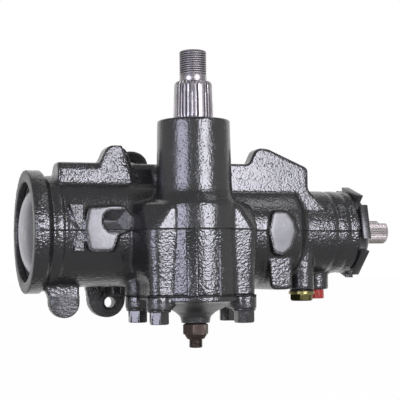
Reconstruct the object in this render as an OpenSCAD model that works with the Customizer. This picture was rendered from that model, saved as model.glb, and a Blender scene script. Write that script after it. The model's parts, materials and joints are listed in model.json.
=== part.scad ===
// Integral power steering gearbox: recirculating-ball worm, rack piston and sector shaft
// in one cast housing, with a rotary valve at the input end.
// X runs along the worm toward the input shaft, Z along the sector shaft, Y toward the frame.
// The origin is on the sector shaft axis at the large end of the arm serration.

/* [Gear set] */
// Distance from the sector shaft axis to the worm axis
axis_offset = 50; // [49:0.5:54]
// Pitch radius of the sector teeth
pitch_r = 23; // [22:0.25:24]
// Pressure angle of the sector and rack teeth
pressure_angle = 30; // [28:1:32]
// Height of the sector teeth
sector_face = 48; // [40:1:50]
// Play between sector and rack flanks at the pitch line
backlash = 0.3; // [0.2:0.05:0.5]
// Travel of the ball nut for one worm turn
worm_lead = 10.8; // [10.2:0.1:11.6]
// Diameter of the bearing balls in the nut
ball_d = 7.14; // [6.6:0.02:7.3]
// Radius of the circle on which the ball centres run
ball_circle_r = 14; // [13.4:0.1:14.4]
// Play between a ball and its groove
ball_play = 0.28; // [0.2:0.02:0.35]

/* [Rack piston] */
// Radius of the cylinder bore
bore_r = 38.5; // [37.5:0.5:39.5]
// Running clearance of the piston in its bore
piston_play = 0.08; // [0.05:0.01:0.1]
// Piston length on the plug side of the sector axis
piston_left = 80; // [72:1:84]
// Piston length on the input side of the sector axis
piston_right = 62; // [58:1:64]
// Width of the piston ring
piston_ring_w = 3.2; // [2.4:0.2:4]

/* [Barrel] */
// Distance from the sector axis to the rim face at the plug end
rim_x = 131.6; // [126:0.2:138]
// Outside radius of the rim
rim_r = 51; // [50:0.1:54]
// Width of the rim
rim_w = 12; // [9:0.5:14]
// Outside radius of the barrel
barrel_r = 46; // [45:0.5:47]
// Distance from the sector axis to the input end of the cylinder bore
bore_end_x = 81; // [80:0.5:86]

/* [End plug] */
// Radius of the end plug seat
plug_seat_r = 41.5; // [41:0.5:43]
// Depth of the end plug seat below the rim face
plug_seat_depth = 17; // [15:0.5:20]
// Height of the dome on the end plug
dome_h = 8; // [4:0.5:10]
// Thickness of the end plug retaining ring
end_ring_t = 2.4; // [1.8:0.2:3]

/* [Sector boss] */
// Height of the sector boss above the worm axis
boss_top = 89.4; // [86:0.2:96]
// Outside radius of the boss at its top
boss_r = 29.8; // [29:0.1:32]
// Radius of the sector shaft journals
journal_r = 17.45; // [16.8:0.05:17.6]
// Running clearance of the shaft journals
journal_play = 0.05; // [0.02:0.01:0.09]
// Radius of the rounded case around the sector
case_r = 36.5; // [35.5:0.5:40]

/* [Arm serration] */
// Outside radius of the serration at its large end
spline_r = 16.6; // [15.6:0.1:16.7]
// Length of the serration
spline_len = 30.6; // [26:0.2:36]
// Number of serration teeth
spline_teeth = 32; // [24:4:40]
// Radius of the arm nut thread
arm_thread_r = 11.1; // [10:0.1:12]
// Length of the arm nut thread
arm_thread_len = 26.2; // [20:0.2:30]

/* [Side cover] */
// Depth of the cover joint below the worm axis
joint_depth = 53; // [51:0.5:58]
// Thickness of the cover gasket
gasket_t = 0.8; // [0.5:0.1:1.2]
// Thickness of the cover flange
cover_t = 10.6; // [9:0.2:13]
// Half spacing of the front cover bolts
bolt_front_x = 36; // [35:0.5:38]
// Distance of the front cover bolts from the sector axis
bolt_front_y = 17; // [16:0.5:20]
// Half spacing of the rear cover bolts
bolt_rear_x = 40; // [38:0.5:43]
// Distance of the rear cover bolts from the sector axis
bolt_rear_y = 32; // [30:0.5:34]
// Radius of the cover bolt shank
bolt_r = 4.76; // [4.5:0.02:5]
// Height of the cover bolt heads
bolt_head_h = 11.4; // [9:0.2:13]
// Radius of the lash adjuster screw
lash_r = 5.5; // [5:0.1:6]
// Length of the lash adjuster screw below its locknut
lash_tail = 7; // [4:0.5:10]

/* [Frame mounting] */
// Distance from the sector axis to the frame mounting face
mount_y = 104; // [102:0.5:110]
// Tapping radius of the frame bolt holes
mount_hole_r = 4.75; // [4.5:0.05:5.5]
// Depth of the blind frame bolt hole beside the valve end
mount_hole_depth = 24; // [18:1:28]
// Thickness of the thin lower ear
ear_t = 12.5; // [10:0.5:16]
// Height of the top rail above the worm axis
rail_top = 57; // [55:0.5:60]
// Height of the two front lugs above the worm axis
lug_top = 71; // [68:0.5:74]
// Centre of the front lug on the rail
rail_lug_x = -58.5; // [-62:0.5:-54]
// Centre of the front lug on the web
web_lug_x = 66; // [62:0.5:70]
// Centre of the lower front lug
low_lug_x = -100.5; // [-103:0.5:-97]
// Depth of the lower front lug below the worm axis
low_lug_depth = 71; // [66:0.5:76]

/* [Valve end] */
// Outside radius of the valve housing
valve_wall_r = 36.6; // [35.8:0.2:38]
// Radius of the valve bore
valve_bore_r = 26; // [25:0.25:26.5]
// Length of the valve body
valve_len = 39; // [36:0.5:41]
// Radius of the adjuster plug thread
plug_thread_r = 29; // [28:0.25:30]
// Length of the adjuster plug
plug_len = 30; // [28:0.5:34]
// Thickness of the adjuster locknut
locknut_t = 7.5; // [6:0.5:9]
// Distance across the flats of the adjuster locknut
locknut_flats = 76; // [74:0.5:80]
// Radius of the serrated input shaft end
input_r = 10.3; // [9.6:0.05:10.4]
// Distance from the sector axis to the end of the input shaft
input_end_x = 199.5; // [196:0.5:206]
// Turn of the input shaft either way before its tongue meets the worm slot
valve_twist = 4; // [3:0.5:5]

/* [Hydraulic ports] */
// Outside radius of the port bosses
port_boss_r = 11; // [10.5:0.25:12]
// Radius of the port bores
port_r = 7; // [6:0.25:7.5]
// Depth of the port faces below the worm axis
port_face = 51; // [49:0.5:55]
// Position of the pressure port along the worm
pressure_x = 106.5; // [105:0.5:109]
// Position of the return port along the worm
return_x = 130; // [128:0.5:131]

/* [Hidden] */
$fn = 64;
fit = 0.03;
module_size = pitch_r / 4;
rack_pitch = PI * module_size;
addendum = 0.8 * module_size;
dedendum = 1.05 * module_size;
base_r = pitch_r * cos(pressure_angle);
tip_r = pitch_r + addendum;
core_r = min(journal_r - 0.3, pitch_r - addendum - 1);
half_face = sector_face / 2;
chamber_r = tip_r + 2.4;
chamber_top = half_face + 3;
piston_r = bore_r - piston_play;
ring_x = piston_right - 10;
relief_half = tip_r + 16.4;
ball_r = ball_d / 2;
groove_r = ball_r + ball_play;
nut_groove_r = groove_r + 0.22;
crest_r = ball_circle_r - 0.8;
nut_bore_r = ball_circle_r + 1;
guide_ro = ball_r + 1.45;
guide_ri = ball_r + 0.35;
guide_z = ball_circle_r + 14.6;
guide_cap = 1.5;
pocket_z = guide_z - guide_ro - 1;
guide_dx = 0.75 * worm_lead;
guide_len = norm([2 * guide_dx, 2 * ball_circle_r]);
guide_dir = atan2(2 * ball_circle_r, 2 * guide_dx);
worm_left = -3.4 * worm_lead;
thread_right = 3.4 * worm_lead;
neck_r = barrel_r + 0.6;
seat_in_x = plug_seat_depth - rim_x;
end_ring_x = -rim_x + dome_h - 2;
end_plug_x = end_ring_x + end_ring_t;
shoulder_x = bore_end_x + 7;
race_t = 2;
roller_d = 2;
flange_x = shoulder_x + race_t + roller_d;
flange_t = 5;
flange_r = valve_bore_r - 2;
valve_x = flange_x + flange_t;
valve_end = valve_x + valve_len;
adjuster_x = valve_end + race_t + roller_d;
nose_len = 7.5;
nose_end = adjuster_x + nose_len;
adjuster_end = adjuster_x + plug_len;
locknut_x = adjuster_end - locknut_t - 4.5;
spool_r = 15.5;
stub_r = 11.9;
bar_r = 3.6;
bar_end_r = 4.5;
tongue_w = 11;
tongue_r = 10.6;
tongue_slot = tongue_w + 2 * tongue_r * sin(valve_twist) + 0.4;
bearing_ro = journal_r + journal_play + 4.6;
seal_bore_r = bearing_ro + 1.6;
bearing_top = chamber_top + 33;
spline_z = boss_top + 1;
spline_small_r = spline_r - 0.036 * spline_len;
thread_z = spline_z + spline_len;
shaft_top = thread_z + arm_thread_len;
bush_ro = journal_r + journal_play + 2.4;
sleeve_r = bush_ro + 5;
cover_top = -joint_depth - gasket_t;
cover_low = cover_top - cover_t;
bush_low = cover_low + 0.8;
disc_low = cover_low - 6;
screw_boss_low = disc_low - 5.5;
journal_low = bush_low + 1.2;
screw_head_z = journal_low + 3;
locknut_h = 9;
screw_low = screw_boss_low - locknut_h - 4 - lash_tail;
washer_r = 9.4;
body_half = bolt_front_x + 9;
body_front = bolt_front_y + 8.5;
body_rear = axis_offset - 5;
pad_front = axis_offset - barrel_r - 2.4;
rail_front = axis_offset - 25;
web_front = axis_offset - 32;
pressure_y = axis_offset - 22;
return_y = axis_offset;
rail_rear = axis_offset + 3;
rail_left = rim_w + 12 - rim_x;
web_end = valve_x + 13;
web_tip = locknut_x - 25;
top_boss_t = 16;
ear_ring = 1.5;
ear_r = 16.2;
lug_half = 12.4;
left_pad_x = -77;
right_pad_x = 79;
dial_r = 9.8;
facet_front = pad_front + 1.6;
block_front = axis_offset - 40;
flank = 7.5;
body_draft = 2;
corner_low = 5.5;
corner_high = 16;
flank_y = axis_offset - 30;
shoulder_z = 15.5;
shoulder_round = 6.5;
shoulder_top = 26.4;
shoulder_in = 18;
washer_z = bearing_top + 9;
seal_washer_t = 2;
ring_clip_z = boss_top - 4.5;
valve_ring_w = 2.4;
valve_ring_x = valve_x + valve_ring_w + 1;
valve_ring_pitch = (valve_end - valve_ring_x - valve_ring_w - 2) / 3;
frame_holes = [[-29, 58.5], [80, 40], [-49, -60]];
bolt_xy = [[-bolt_front_x, -bolt_front_y], [bolt_front_x, -bolt_front_y],
    [bolt_rear_x, bolt_rear_y], [-bolt_rear_x, bolt_rear_y]];

// Unit vector
function unit(v) = v / norm(v);

// Points of a rounded corner at b between a and c
function corner(a, b, c, r, n) = let (u = unit(a - b), v = unit(c - b), h = acos(u * v) / 2,
    p = u * r / tan(h), q = v * r / tan(h), m = unit(u + v) * r / sin(h))
    r <= 0 ? [b] : [for (i = [0 : n]) b + m + r * unit((p - m) * (1 - i / n) + (q - m) * i / n)];

// Polygon points with each corner rounded to its own radius
function rounded(pts, radii, n = 6) = let (k = len(pts))
    [for (i = [0 : k - 1]) each corner(pts[(i + k - 1) % k], pts[i], pts[(i + 1) % k], radii[i], n)];

// Involute function in degrees
function inv(a) = tan(a) * 180 / PI - a;

// Half angle of a sector tooth at radius r
function tooth_half(r) = 90 / 8 + inv(pressure_angle) - inv(acos(min(1, base_r / r)))
    - backlash / 4 / pitch_r * 180 / PI;

// Point at radius r and angle a
function polar(r, a) = r * [cos(a), sin(a)];

// Place children with local Z along the worm axis
module along_worm() {
    translate([0, axis_offset, 0]) rotate([0, 90, 0]) children();
}

// Ring on the worm axis between two positions
module worm_ring(x0, x1, ro, ri) {
    along_worm() rotate_extrude() polygon([[ri, x0], [ro, x0], [ro, x1], [ri, x1]]);
}

// Solid rod on the worm axis
module worm_rod(x0, x1, r) {
    along_worm() translate([0, 0, x0]) cylinder(r = r, h = x1 - x0);
}

// Round section ring on the worm axis
module worm_cord(x, r, cord) {
    along_worm() translate([0, 0, x]) rotate_extrude() translate([r, 0]) circle(r = cord, $fn = 24);
}

// Ring about the sector axis
module sector_ring(z0, z1, ro, ri) {
    rotate_extrude() polygon([[ri, z0], [ro, z0], [ro, z1], [ri, z1]]);
}

// Upright rod at a point
module rod_z(x, y, z0, z1, r) {
    translate([x, y, z0]) cylinder(r = r, h = z1 - z0);
}

// Rod along Y at a point
module rod_y(x, z, y0, y1, r) {
    translate([x, y1, z]) rotate([90, 0, 0]) cylinder(r = r, h = y1 - y0);
}

// Plate drawn in X and Z, thick along Y
module plate_y(y0, y1) {
    translate([0, y1, 0]) rotate([90, 0, 0]) linear_extrude(y1 - y0) children();
}

// Bar drawn in Y and Z, long along X
module bar_x(x0, x1) {
    translate([x0, 0, 0]) rotate([90, 0, 90]) linear_extrude(x1 - x0) children();
}

// Six-sided bar about Z
module hex_z(z0, z1, flats) {
    translate([0, 0, z0]) linear_extrude(z1 - z0) circle(r = flats / sqrt(3), $fn = 6);
}

// Radial slots or spokes around the worm axis
module round_worm(count) {
    along_worm() for (i = [0 : count - 1]) rotate(i * 360 / count) children();
}

// Outline of the case and cover seen along the sector axis
module case_outline() {
    polygon(rounded([[-body_half, -body_front], [body_half, -body_front],
        [body_half - 3, body_rear], [3 - body_half, body_rear]], [8, 8, 4, 4]));
    circle(r = case_r);
}

// Ear around a rear cover bolt
module rear_ear(side) {
    rod_z(side * bolt_rear_x, bolt_rear_y, -joint_depth, 11 - joint_depth, 10.2);
    translate([side * bolt_rear_x, bolt_rear_y, 11 - joint_depth]) cylinder(r1 = 10.2, r2 = 5, h = 6);
}

// Barrel, neck and valve end as one turned form
module barrel_form() {
    along_worm() rotate_extrude($fn = 96) polygon([[0, -rim_x], [rim_r - 1.2, -rim_x],
        [rim_r, 1.2 - rim_x], [rim_r, rim_w - rim_x], [neck_r - 1, rim_w + 4 - rim_x],
        [neck_r - 1, rim_w + 5 - rim_x], [neck_r, rim_w + 6 - rim_x], [neck_r, rim_w + 12 - rim_x],
        [barrel_r - 1, rim_w + 13.5 - rim_x], [barrel_r - 1, rim_w + 15 - rim_x],
        [barrel_r, rim_w + 17 - rim_x], [barrel_r, shoulder_x + 9],
        [valve_wall_r, shoulder_x + 18], [valve_wall_r, locknut_x - 23],
        [valve_wall_r - 1, locknut_x - 22], [valve_wall_r - 1, locknut_x - 20],
        [valve_wall_r, locknut_x - 19], [valve_wall_r, locknut_x - 11],
        [valve_wall_r - 0.9, locknut_x - 10], [valve_wall_r - 0.9, locknut_x - 8],
        [valve_wall_r, locknut_x - 7], [valve_wall_r, locknut_x - 1], [valve_wall_r - 1, locknut_x],
        [0, locknut_x]]);
}

// Sector boss with its flare into the case
module boss_form() {
    rotate_extrude($fn = 96) polygon([[0, -joint_depth], [case_r, -joint_depth], [case_r, 17],
        [case_r - 0.5, 20.5], [case_r - 1.8, 23.5], [case_r - 3.3, 26.3], [boss_r + 2, 29.5],
        [boss_r + 1.4, 34], [boss_r + 1.1, 40], [boss_r, boss_top - 1], [boss_r - 1, boss_top],
        [0, boss_top]]);
}

// Level outline of the case body: drawn in all round, spread at the back and cut across the front corners
module body_slice(z, inset, spread, cut) {
    half = body_half - inset;
    front = inset - body_front;
    translate([0, 0, z]) linear_extrude(0.1)
        polygon(rounded([[cut - half, front], [half - cut, front], [half, front + cut],
            [half + spread, flank_y], [-half - spread, flank_y], [-half, front + cut]], [8, 8, 8, 4, 4, 8]));
}

// Case body under the boss, with flared flanks, cut front corners and a rounded edge to its sloping shoulder
module body_form() {
    hull() {
        body_slice(12 - joint_depth, 0, 0, corner_low);
        body_slice(30 - joint_depth, 0, flank, corner_low);
        body_slice(0, -body_draft, flank, corner_low);
        for (a = [0 : 22.5 : 67.5])
            body_slice(shoulder_z + shoulder_round * sin(a),
                shoulder_round * (1 - cos(a)) - body_draft, flank, corner_high);
        body_slice(shoulder_top, shoulder_in, flank, corner_high / 2);
    }
}

// Top rail, front lug and right-hand web with its lug
module rail_form() {
    bar_x(rail_left, rail_lug_x + 70)
        polygon(rounded([[rail_front, 0], [rail_rear, 0], [rail_rear, rail_top], [rail_front, rail_top]],
            [0, 0, 10, 7.5]));
    plate_y(rail_front, rail_front + 18)
        polygon(rounded([[rail_lug_x + 15.5, 10], [rail_lug_x + 14.5, rail_top - 1],
            [rail_lug_x + 10, lug_top], [rail_lug_x - 7.5, lug_top], [rail_lug_x - 14.5, rail_top - 1],
            [rail_lug_x - 20, 10]], [0, 8, 8, 8, 6, 0]));
    bar_x(0, web_end)
        polygon(rounded([[web_front, 0], [axis_offset + 24, 0], [axis_offset + 24, rail_top - 2],
            [web_front, rail_top - 2]], [0, 0, 10, 5]));
    plate_y(web_front, web_front + 16)
        polygon(rounded([[0, 0], [web_tip - 9, 0], [web_tip, 13], [web_end, 36], [web_end, rail_top - 2.6],
            [web_lug_x + 7, lug_top - 0.6], [web_lug_x - 4, lug_top], [web_lug_x - 10, rail_top],
            [0, rail_top]], [0, 0, 0, 6, 5, 8, 8, 4, 0]));
}

// Mounting bosses on the frame side, the lower ear and the lower front lug
module mounting_form() {
    top = frame_holes[0];
    right = frame_holes[1];
    low = frame_holes[2];
    rod_y(top[0], top[1], mount_y - top_boss_t, mount_y, 14);
    plate_y(mount_y - top_boss_t, mount_y - 3)
        polygon(rounded([[top[0] - 17, 0], [top[0] - 15, top[1] + 14.5], [top[0] + 15, top[1] + 14.5],
            [top[0] + 19, 0]], [0, 14, 14, 0]));
    plate_y(axis_offset + 16, mount_y - 3)
        polygon([[top[0] - 4, 10], [top[0] - 4, top[1] - 8], [top[0] + 4, top[1] - 8], [top[0] + 4, 10]]);
    rod_y(right[0], right[1], mount_y - top_boss_t, mount_y, 13);
    plate_y(axis_offset + 16, mount_y - 3)
        polygon(rounded([[right[0] - 18, 0], [right[0] - 14, right[1] + 12], [right[0] + 14, right[1] + 12],
            [right[0] + 18, 0]], [0, 12, 12, 0]));
    rod_y(low[0] - 2, low[1] + 3, mount_y - ear_t, mount_y, ear_r);
    rod_y(low[0], low[1], mount_y - ear_t - ear_ring, mount_y, 2 * mount_hole_r);
    plate_y(mount_y - ear_t, mount_y - 3)
        polygon([[low[0] - 23, 0], [low[0] - 21, low[1] + 13], [low[0] - 2 - ear_r, low[1] + 3],
            [low[0] - 2 + ear_r, low[1] + 3], [low[0] + 23, 0]]);
    plate_y(axis_offset + 16, mount_y - 3)
        polygon([[low[0] - 4, -10], [low[0] - 4, low[1] + 6], [low[0] + 4, low[1] + 6], [low[0] + 4, -10]]);
    plate_y(axis_offset - 14, axis_offset - 3)
        polygon(rounded([[low_lug_x - lug_half - 4, -10], [low_lug_x - lug_half - 4, 24 - low_lug_depth],
            [low_lug_x - lug_half, 16 - low_lug_depth], [low_lug_x - lug_half, -low_lug_depth],
            [low_lug_x + lug_half, -low_lug_depth], [low_lug_x + lug_half, -10]],
            [0, 0, 2, lug_half - 0.1, lug_half - 0.1, 0]));
}

// Cast pads on the front of the barrel, the facets beside them and the lower right block
module pad_form() {
    plate_y(pad_front, axis_offset - 20) translate([left_pad_x, 0])
        polygon(rounded([[-11.5, 18.5], [20, 20], [22, 4], [13.5, -4.5], [9.5, -17.5], [-11, -17.5],
            [-14.5, 1.5]], [3, 3, 3, 3, 4, 4, 1]));
    plate_y(facet_front, axis_offset - 20) translate([left_pad_x, 0]) {
        polygon([[-26, 21], [-15, 21], [-15.5, 7], [-18.5, 1], [-22, 6.5]]);
        polygon([[-20, -1], [-15.5, -4], [-14.5, -17], [-23, -17]]);
    }
    plate_y(pad_front, axis_offset - 20) translate([right_pad_x, 0])
        polygon(rounded([[-9, 16], [5, 16], [11.5, 8], [13, -2], [8.5, -16], [0.5, -21.8], [-8.5, -19.5],
            [-12.5, -1]], [4, 4, 3, 3, 3, 3, 4, 1]));
    plate_y(block_front, axis_offset + 14) translate([right_pad_x, 0])
        polygon(rounded([[-10, -20], [-8, 0.8 - port_face], [12, 0.8 - port_face], [12, -20]],
            [0, 5, 5, 0]));
}

// Cast case with every bore and tapped hole
module housing() {
    color([0.16, 0.17, 0.17]) difference() {
        union() {
            barrel_form();
            boss_form();
            translate([0, 0, -joint_depth]) linear_extrude(joint_depth) case_outline();
            body_form();
            rear_ear(1);
            rear_ear(-1);
            rail_form();
            mounting_form();
            pad_form();
            rod_z(pressure_x, pressure_y, -port_face, -2, port_boss_r);
            rod_z(return_x, return_y, -port_face, -2, port_boss_r);
        }
        worm_rod(seat_in_x - 1, bore_end_x, bore_r);
        worm_rod(-rim_x - 1, seat_in_x, plug_seat_r);
        worm_rod(end_ring_x, end_ring_x + end_ring_t, plug_seat_r + 2);
        worm_rod(bore_end_x - 1, shoulder_x + 1, ball_circle_r + 2);
        worm_rod(shoulder_x, nose_end, valve_bore_r);
        worm_rod(nose_end - 0.5, locknut_x + 1, plug_thread_r);
        translate([0, 0, -joint_depth - 1]) cylinder(r = chamber_r, h = joint_depth + 1 + chamber_top);
        rod_z(0, 0, chamber_top - 1, bearing_top + 1, bearing_ro);
        rod_z(0, 0, bearing_top, boss_top + 1, seal_bore_r);
        rod_z(0, 0, ring_clip_z, ring_clip_z + 2, seal_bore_r + 1.4);
        for (p = bolt_xy) rod_z(p[0], p[1], -joint_depth - 1, -joint_depth + 17, bolt_r);
        rod_y(frame_holes[0][0], frame_holes[0][1], mount_y - top_boss_t - 1, mount_y + 1, mount_hole_r);
        rod_y(frame_holes[1][0], frame_holes[1][1], mount_y - mount_hole_depth, mount_y + 1, mount_hole_r);
        rod_y(frame_holes[2][0], frame_holes[2][1], mount_y - ear_t - ear_ring - 1, mount_y + 1,
            mount_hole_r);
        rod_z(pressure_x, pressure_y, -port_face - 1, -12, port_r);
        rod_z(return_x, return_y, -port_face - 1, -20, port_r);
        rod_y(left_pad_x + 10.3, 7.2, pad_front - 1, pad_front + 1.6, dial_r);
    }
}

// Domed plug that closes the cylinder
module end_plug() {
    color([0.62, 0.62, 0.66]) along_worm() rotate_extrude($fn = 96) polygon(concat(
        [[0, seat_in_x - 4], [plug_seat_r - 9, seat_in_x - 4], [plug_seat_r - 6, seat_in_x],
        [plug_seat_r - fit, seat_in_x], [plug_seat_r - fit, seat_in_x - 2.2],
        [plug_seat_r - 2.4, seat_in_x - 2.2], [plug_seat_r - 2.4, seat_in_x - 5.2],
        [plug_seat_r - fit, seat_in_x - 5.2], [plug_seat_r - fit, end_plug_x],
        [plug_seat_r - 4, end_plug_x]],
        [for (i = [1 : 8]) [(plug_seat_r - 4) * cos(i * 90 / 8),
            end_plug_x - dome_h * sin(i * 90 / 8)]]));
}

// Seal ring in the end plug groove
module end_plug_seal() {
    color([0.05, 0.05, 0.05]) worm_ring(seat_in_x - 5, seat_in_x - 2.4, plug_seat_r - fit, plug_seat_r - 2.4);
}

// Open retaining ring that holds the end plug
module end_plug_ring() {
    color([0.5, 0.5, 0.52]) difference() {
        worm_ring(end_ring_x, end_ring_x + end_ring_t, plug_seat_r + 1.9, plug_seat_r - 2);
        along_worm() translate([plug_seat_r - 5, -4, end_ring_x - 1]) cube([12, 8, end_ring_t + 2]);
    }
}

// Space between two rack teeth
module rack_gap(x) {
    h = rack_pitch / 4 + backlash / 4;
    t = tan(pressure_angle);
    polygon([[x - h - (addendum + 1) * t, pitch_r - addendum - 1],
        [x + h + (addendum + 1) * t, pitch_r - addendum - 1],
        [x + h - dedendum * t, pitch_r + dedendum], [x - h + dedendum * t, pitch_r + dedendum]]);
}

// Helical ball groove of radius g, open inward for the worm or outward for the nut
module ball_screw(x0, x1, land_r, g, side, steps) {
    drop = abs(ball_circle_r - land_r);
    w = sqrt(g * g - drop * drop);
    d = concat([for (i = [-6 : 6]) g * sin(i * asin(w / g) / 6)],
        [for (i = [1 : 4]) w + (worm_lead - 2 * w) * i / 5]);
    along_worm() translate([0, 0, x0])
        linear_extrude(x1 - x0, twist = -360 * (x1 - x0) / worm_lead,
            slices = ceil((x1 - x0) / worm_lead * steps), $fn = 12)
        polygon([for (v = d) polar(v > w ? land_r
            : ball_circle_r + side * sqrt(g * g - v * v), 180 + 360 * (x0 - v) / worm_lead)]);
}

// Frame for the ball return guide, along its bridge
module at_guide() {
    translate([0, axis_offset, guide_z]) rotate(guide_dir) children();
}

// Piston with rack teeth, ball nut and return guide pocket
module rack_piston() {
    color([0.55, 0.55, 0.57]) difference() {
        worm_rod(-piston_left, piston_right, piston_r);
        worm_ring(ring_x, ring_x + piston_ring_w, piston_r + 1, piston_r - 4);
        translate([0, 0, -bore_r]) linear_extrude(2 * bore_r) {
            translate([-relief_half, 0]) square([2 * relief_half, pitch_r - addendum]);
            for (i = [-2 : 2]) rack_gap(i * rack_pitch);
        }
        worm_rod(-piston_left - 1, 2 - 1.6 * worm_lead, nut_bore_r + 0.8);
        worm_rod(1.6 * worm_lead - 2, piston_right + 1, nut_bore_r + 0.8);
        ball_screw(1 - 1.6 * worm_lead, 1.6 * worm_lead - 1, nut_bore_r, nut_groove_r, 1, 26);
        worm_rod(-piston_left - 1, 14 - piston_left, nut_bore_r + 3);
        at_guide() translate([-guide_len / 2 - 7, -16, pocket_z - guide_z])
            cube([guide_len + 14, 32, bore_r]);
        rod_z(-guide_dx, axis_offset - ball_circle_r, 1, pocket_z + 1, guide_ro + 0.1);
        rod_z(guide_dx, axis_offset + ball_circle_r, 1, pocket_z + 1, guide_ro + 0.1);
        at_guide() for (s = [-1, 1]) translate([0, 11 * s, pocket_z - guide_z - 6]) cylinder(r = 1.85, h = 8);
    }
}

// Ring that seals the piston in the bore
module piston_ring() {
    color([0.75, 0.72, 0.62])
        worm_ring(ring_x + 0.05, ring_x + piston_ring_w - 0.05, bore_r - 0.02, piston_r - 1.8);
}

// Elastic ring behind the piston ring
module piston_ring_backup() {
    color([0.06, 0.06, 0.06])
        worm_ring(ring_x + 0.1, ring_x + piston_ring_w - 0.1, piston_r - 1.8, piston_r - 4);
}

// Threaded plug in the end of the ball nut
module rack_plug() {
    color([0.45, 0.45, 0.47]) difference() {
        worm_rod(3 - piston_left, 14 - piston_left, nut_bore_r + 3 - fit);
        along_worm() translate([-6.4, -6.4, 2 - piston_left]) cube([12.8, 12.8, 8]);
    }
}

// One ball at a place
module ball(x, y, z) {
    translate([x, axis_offset + y, z]) sphere(r = ball_r, $fn = 32);
}

// Balls in the groove and in the return guide
module recirculating_balls() {
    color([0.8, 0.8, 0.82]) {
        for (i = [0 : 17]) let (a = -90 + 30 * (i + 0.5))
            ball(worm_lead * (a - 180) / 360, ball_circle_r * sin(a), -ball_circle_r * cos(a));
        for (i = [1 : 3], s = [-1, 1]) ball(s * guide_dx, s * ball_circle_r, 0.9 + (ball_d + 0.06) * i);
        for (i = [-1.5 : 1.5]) ball(i * guide_dx / 2, i * ball_circle_r / 2, guide_z);
    }
}

// Bent tube form of the return guide
module guide_form(r, low, high, over) {
    for (s = [-1, 1]) rod_z(s * guide_dx, axis_offset + s * ball_circle_r, low, high, r);
    at_guide() translate([-guide_len / 2 - over, 0, 0]) rotate([0, 90, 0])
        cylinder(r = r + 0.25, h = guide_len + 2 * over);
}

// Tube that carries the balls back across the nut
module return_guide() {
    color([0.7, 0.7, 0.6]) difference() {
        guide_form(guide_ro, 5, guide_z + guide_cap, 0.5 + guide_cap);
        guide_form(guide_ri, 4, guide_z, 0.5);
        worm_rod(-2 * worm_lead, 2 * worm_lead, nut_bore_r);
    }
}

// Strap over the return guide
module return_clamp() {
    color([0.6, 0.6, 0.62]) at_guide() difference() {
        union() {
            translate([-4.5, 0, 0]) rotate([0, 90, 0]) cylinder(r = guide_ro + 1.75, h = 9);
            translate([-4.5, -guide_ro - 1.75, pocket_z - guide_z])
                cube([9, 2 * guide_ro + 3.5, guide_z - pocket_z]);
            translate([-4.5, -15, pocket_z - guide_z]) cube([9, 30, 1.6]);
        }
        translate([-6, 0, 0]) rotate([0, 90, 0]) cylinder(r = guide_ro + 0.25 + fit, h = 12);
        translate([-6, -guide_ro - 0.25 - fit, -guide_ro - 3])
            cube([12, 2 * (guide_ro + 0.25 + fit), guide_ro + 3]);
        for (s = [-1, 1]) translate([0, 11 * s, pocket_z - guide_z - 1]) cylinder(r = 1.9, h = 5);
    }
}

// Screws of the guide strap
module return_clamp_screws() {
    color([0.35, 0.35, 0.36]) at_guide() for (s = [-1, 1]) translate([0, 11 * s, pocket_z - guide_z]) {
        translate([0, 0, 1.6]) cylinder(r = 3.2, h = 2.4);
        translate([0, 0, -5]) cylinder(r = 1.8, h = 6.7);
    }
}

// Worm with its valve flange and torsion bar socket
module worm() {
    color([0.6, 0.6, 0.62]) difference() {
        union() {
            worm_rod(worm_left - 12, worm_left + 1, crest_r - 3.6);
            ball_screw(worm_left, thread_right, crest_r, groove_r, -1, 18);
            worm_rod(thread_right - 1, flange_x + 1, crest_r + 0.4);
            worm_rod(flange_x, valve_x, flange_r);
        }
        worm_rod(valve_x - 22, valve_x + 1, bar_end_r);
        along_worm() translate([0, 0, valve_x - 4]) linear_extrude(5) intersection() {
            circle(r = tongue_r + 1);
            square([2 * tongue_r + 4, tongue_slot], center = true);
        }
        along_worm() translate([0, 15, valve_x - 12.1]) rotate([90, 0, 0]) cylinder(r = 1.6, h = 30);
        along_worm() translate([flange_r - 4, 0, valve_x - 4]) cylinder(r = 1.6, h = 5);
    }
}

// Pin that locks the torsion bar in the worm
module worm_pin() {
    color([0.4, 0.4, 0.42]) along_worm() {
        translate([0, crest_r - 0.6, valve_x - 12.1]) rotate([90, 0, 0])
            cylinder(r = 1.57, h = crest_r - 0.6 - bar_end_r);
        translate([flange_r - 4, 0, valve_x - 4]) cylinder(r = 1.57, h = 7);
    }
}

// Flat race against the case shoulder
module lower_thrust_race() {
    color([0.7, 0.7, 0.72]) worm_ring(shoulder_x, shoulder_x + race_t, flange_r, ball_circle_r + 2);
}

// Thrust rollers ahead of the worm flange
module lower_thrust_rollers() {
    color([0.78, 0.78, 0.8]) round_worm(20)
        translate([ball_circle_r + 3, 0, shoulder_x + race_t + roller_d / 2])
        rotate([0, 90, 0]) cylinder(r = roller_d / 2 - 0.03, h = flange_r - ball_circle_r - 4, $fn = 16);
}

// Sleeve of the rotary valve
module valve_body() {
    color([0.5, 0.5, 0.53]) difference() {
        worm_ring(valve_x, valve_end, flange_r - 0.2, spool_r + 0.05);
        for (i = [0 : 3]) let (x = valve_ring_x + i * valve_ring_pitch)
            worm_ring(x, x + valve_ring_w, flange_r + 1, flange_r - 2.6);
        for (i = [0 : 2]) let (x = valve_ring_x + i * valve_ring_pitch)
            worm_ring(x + 3.6, x + 9, flange_r + 1, flange_r - 1.8);
        round_worm(4) for (i = [0 : 2]) translate([0, 0, valve_ring_x + 6.3 + i * valve_ring_pitch])
            rotate([0, 90, i * 45]) cylinder(r = 1.8, h = flange_r + 2);
        along_worm() translate([flange_r - 4, 0, valve_x - 1]) cylinder(r = 1.6, h = 4.2);
    }
}

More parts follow.
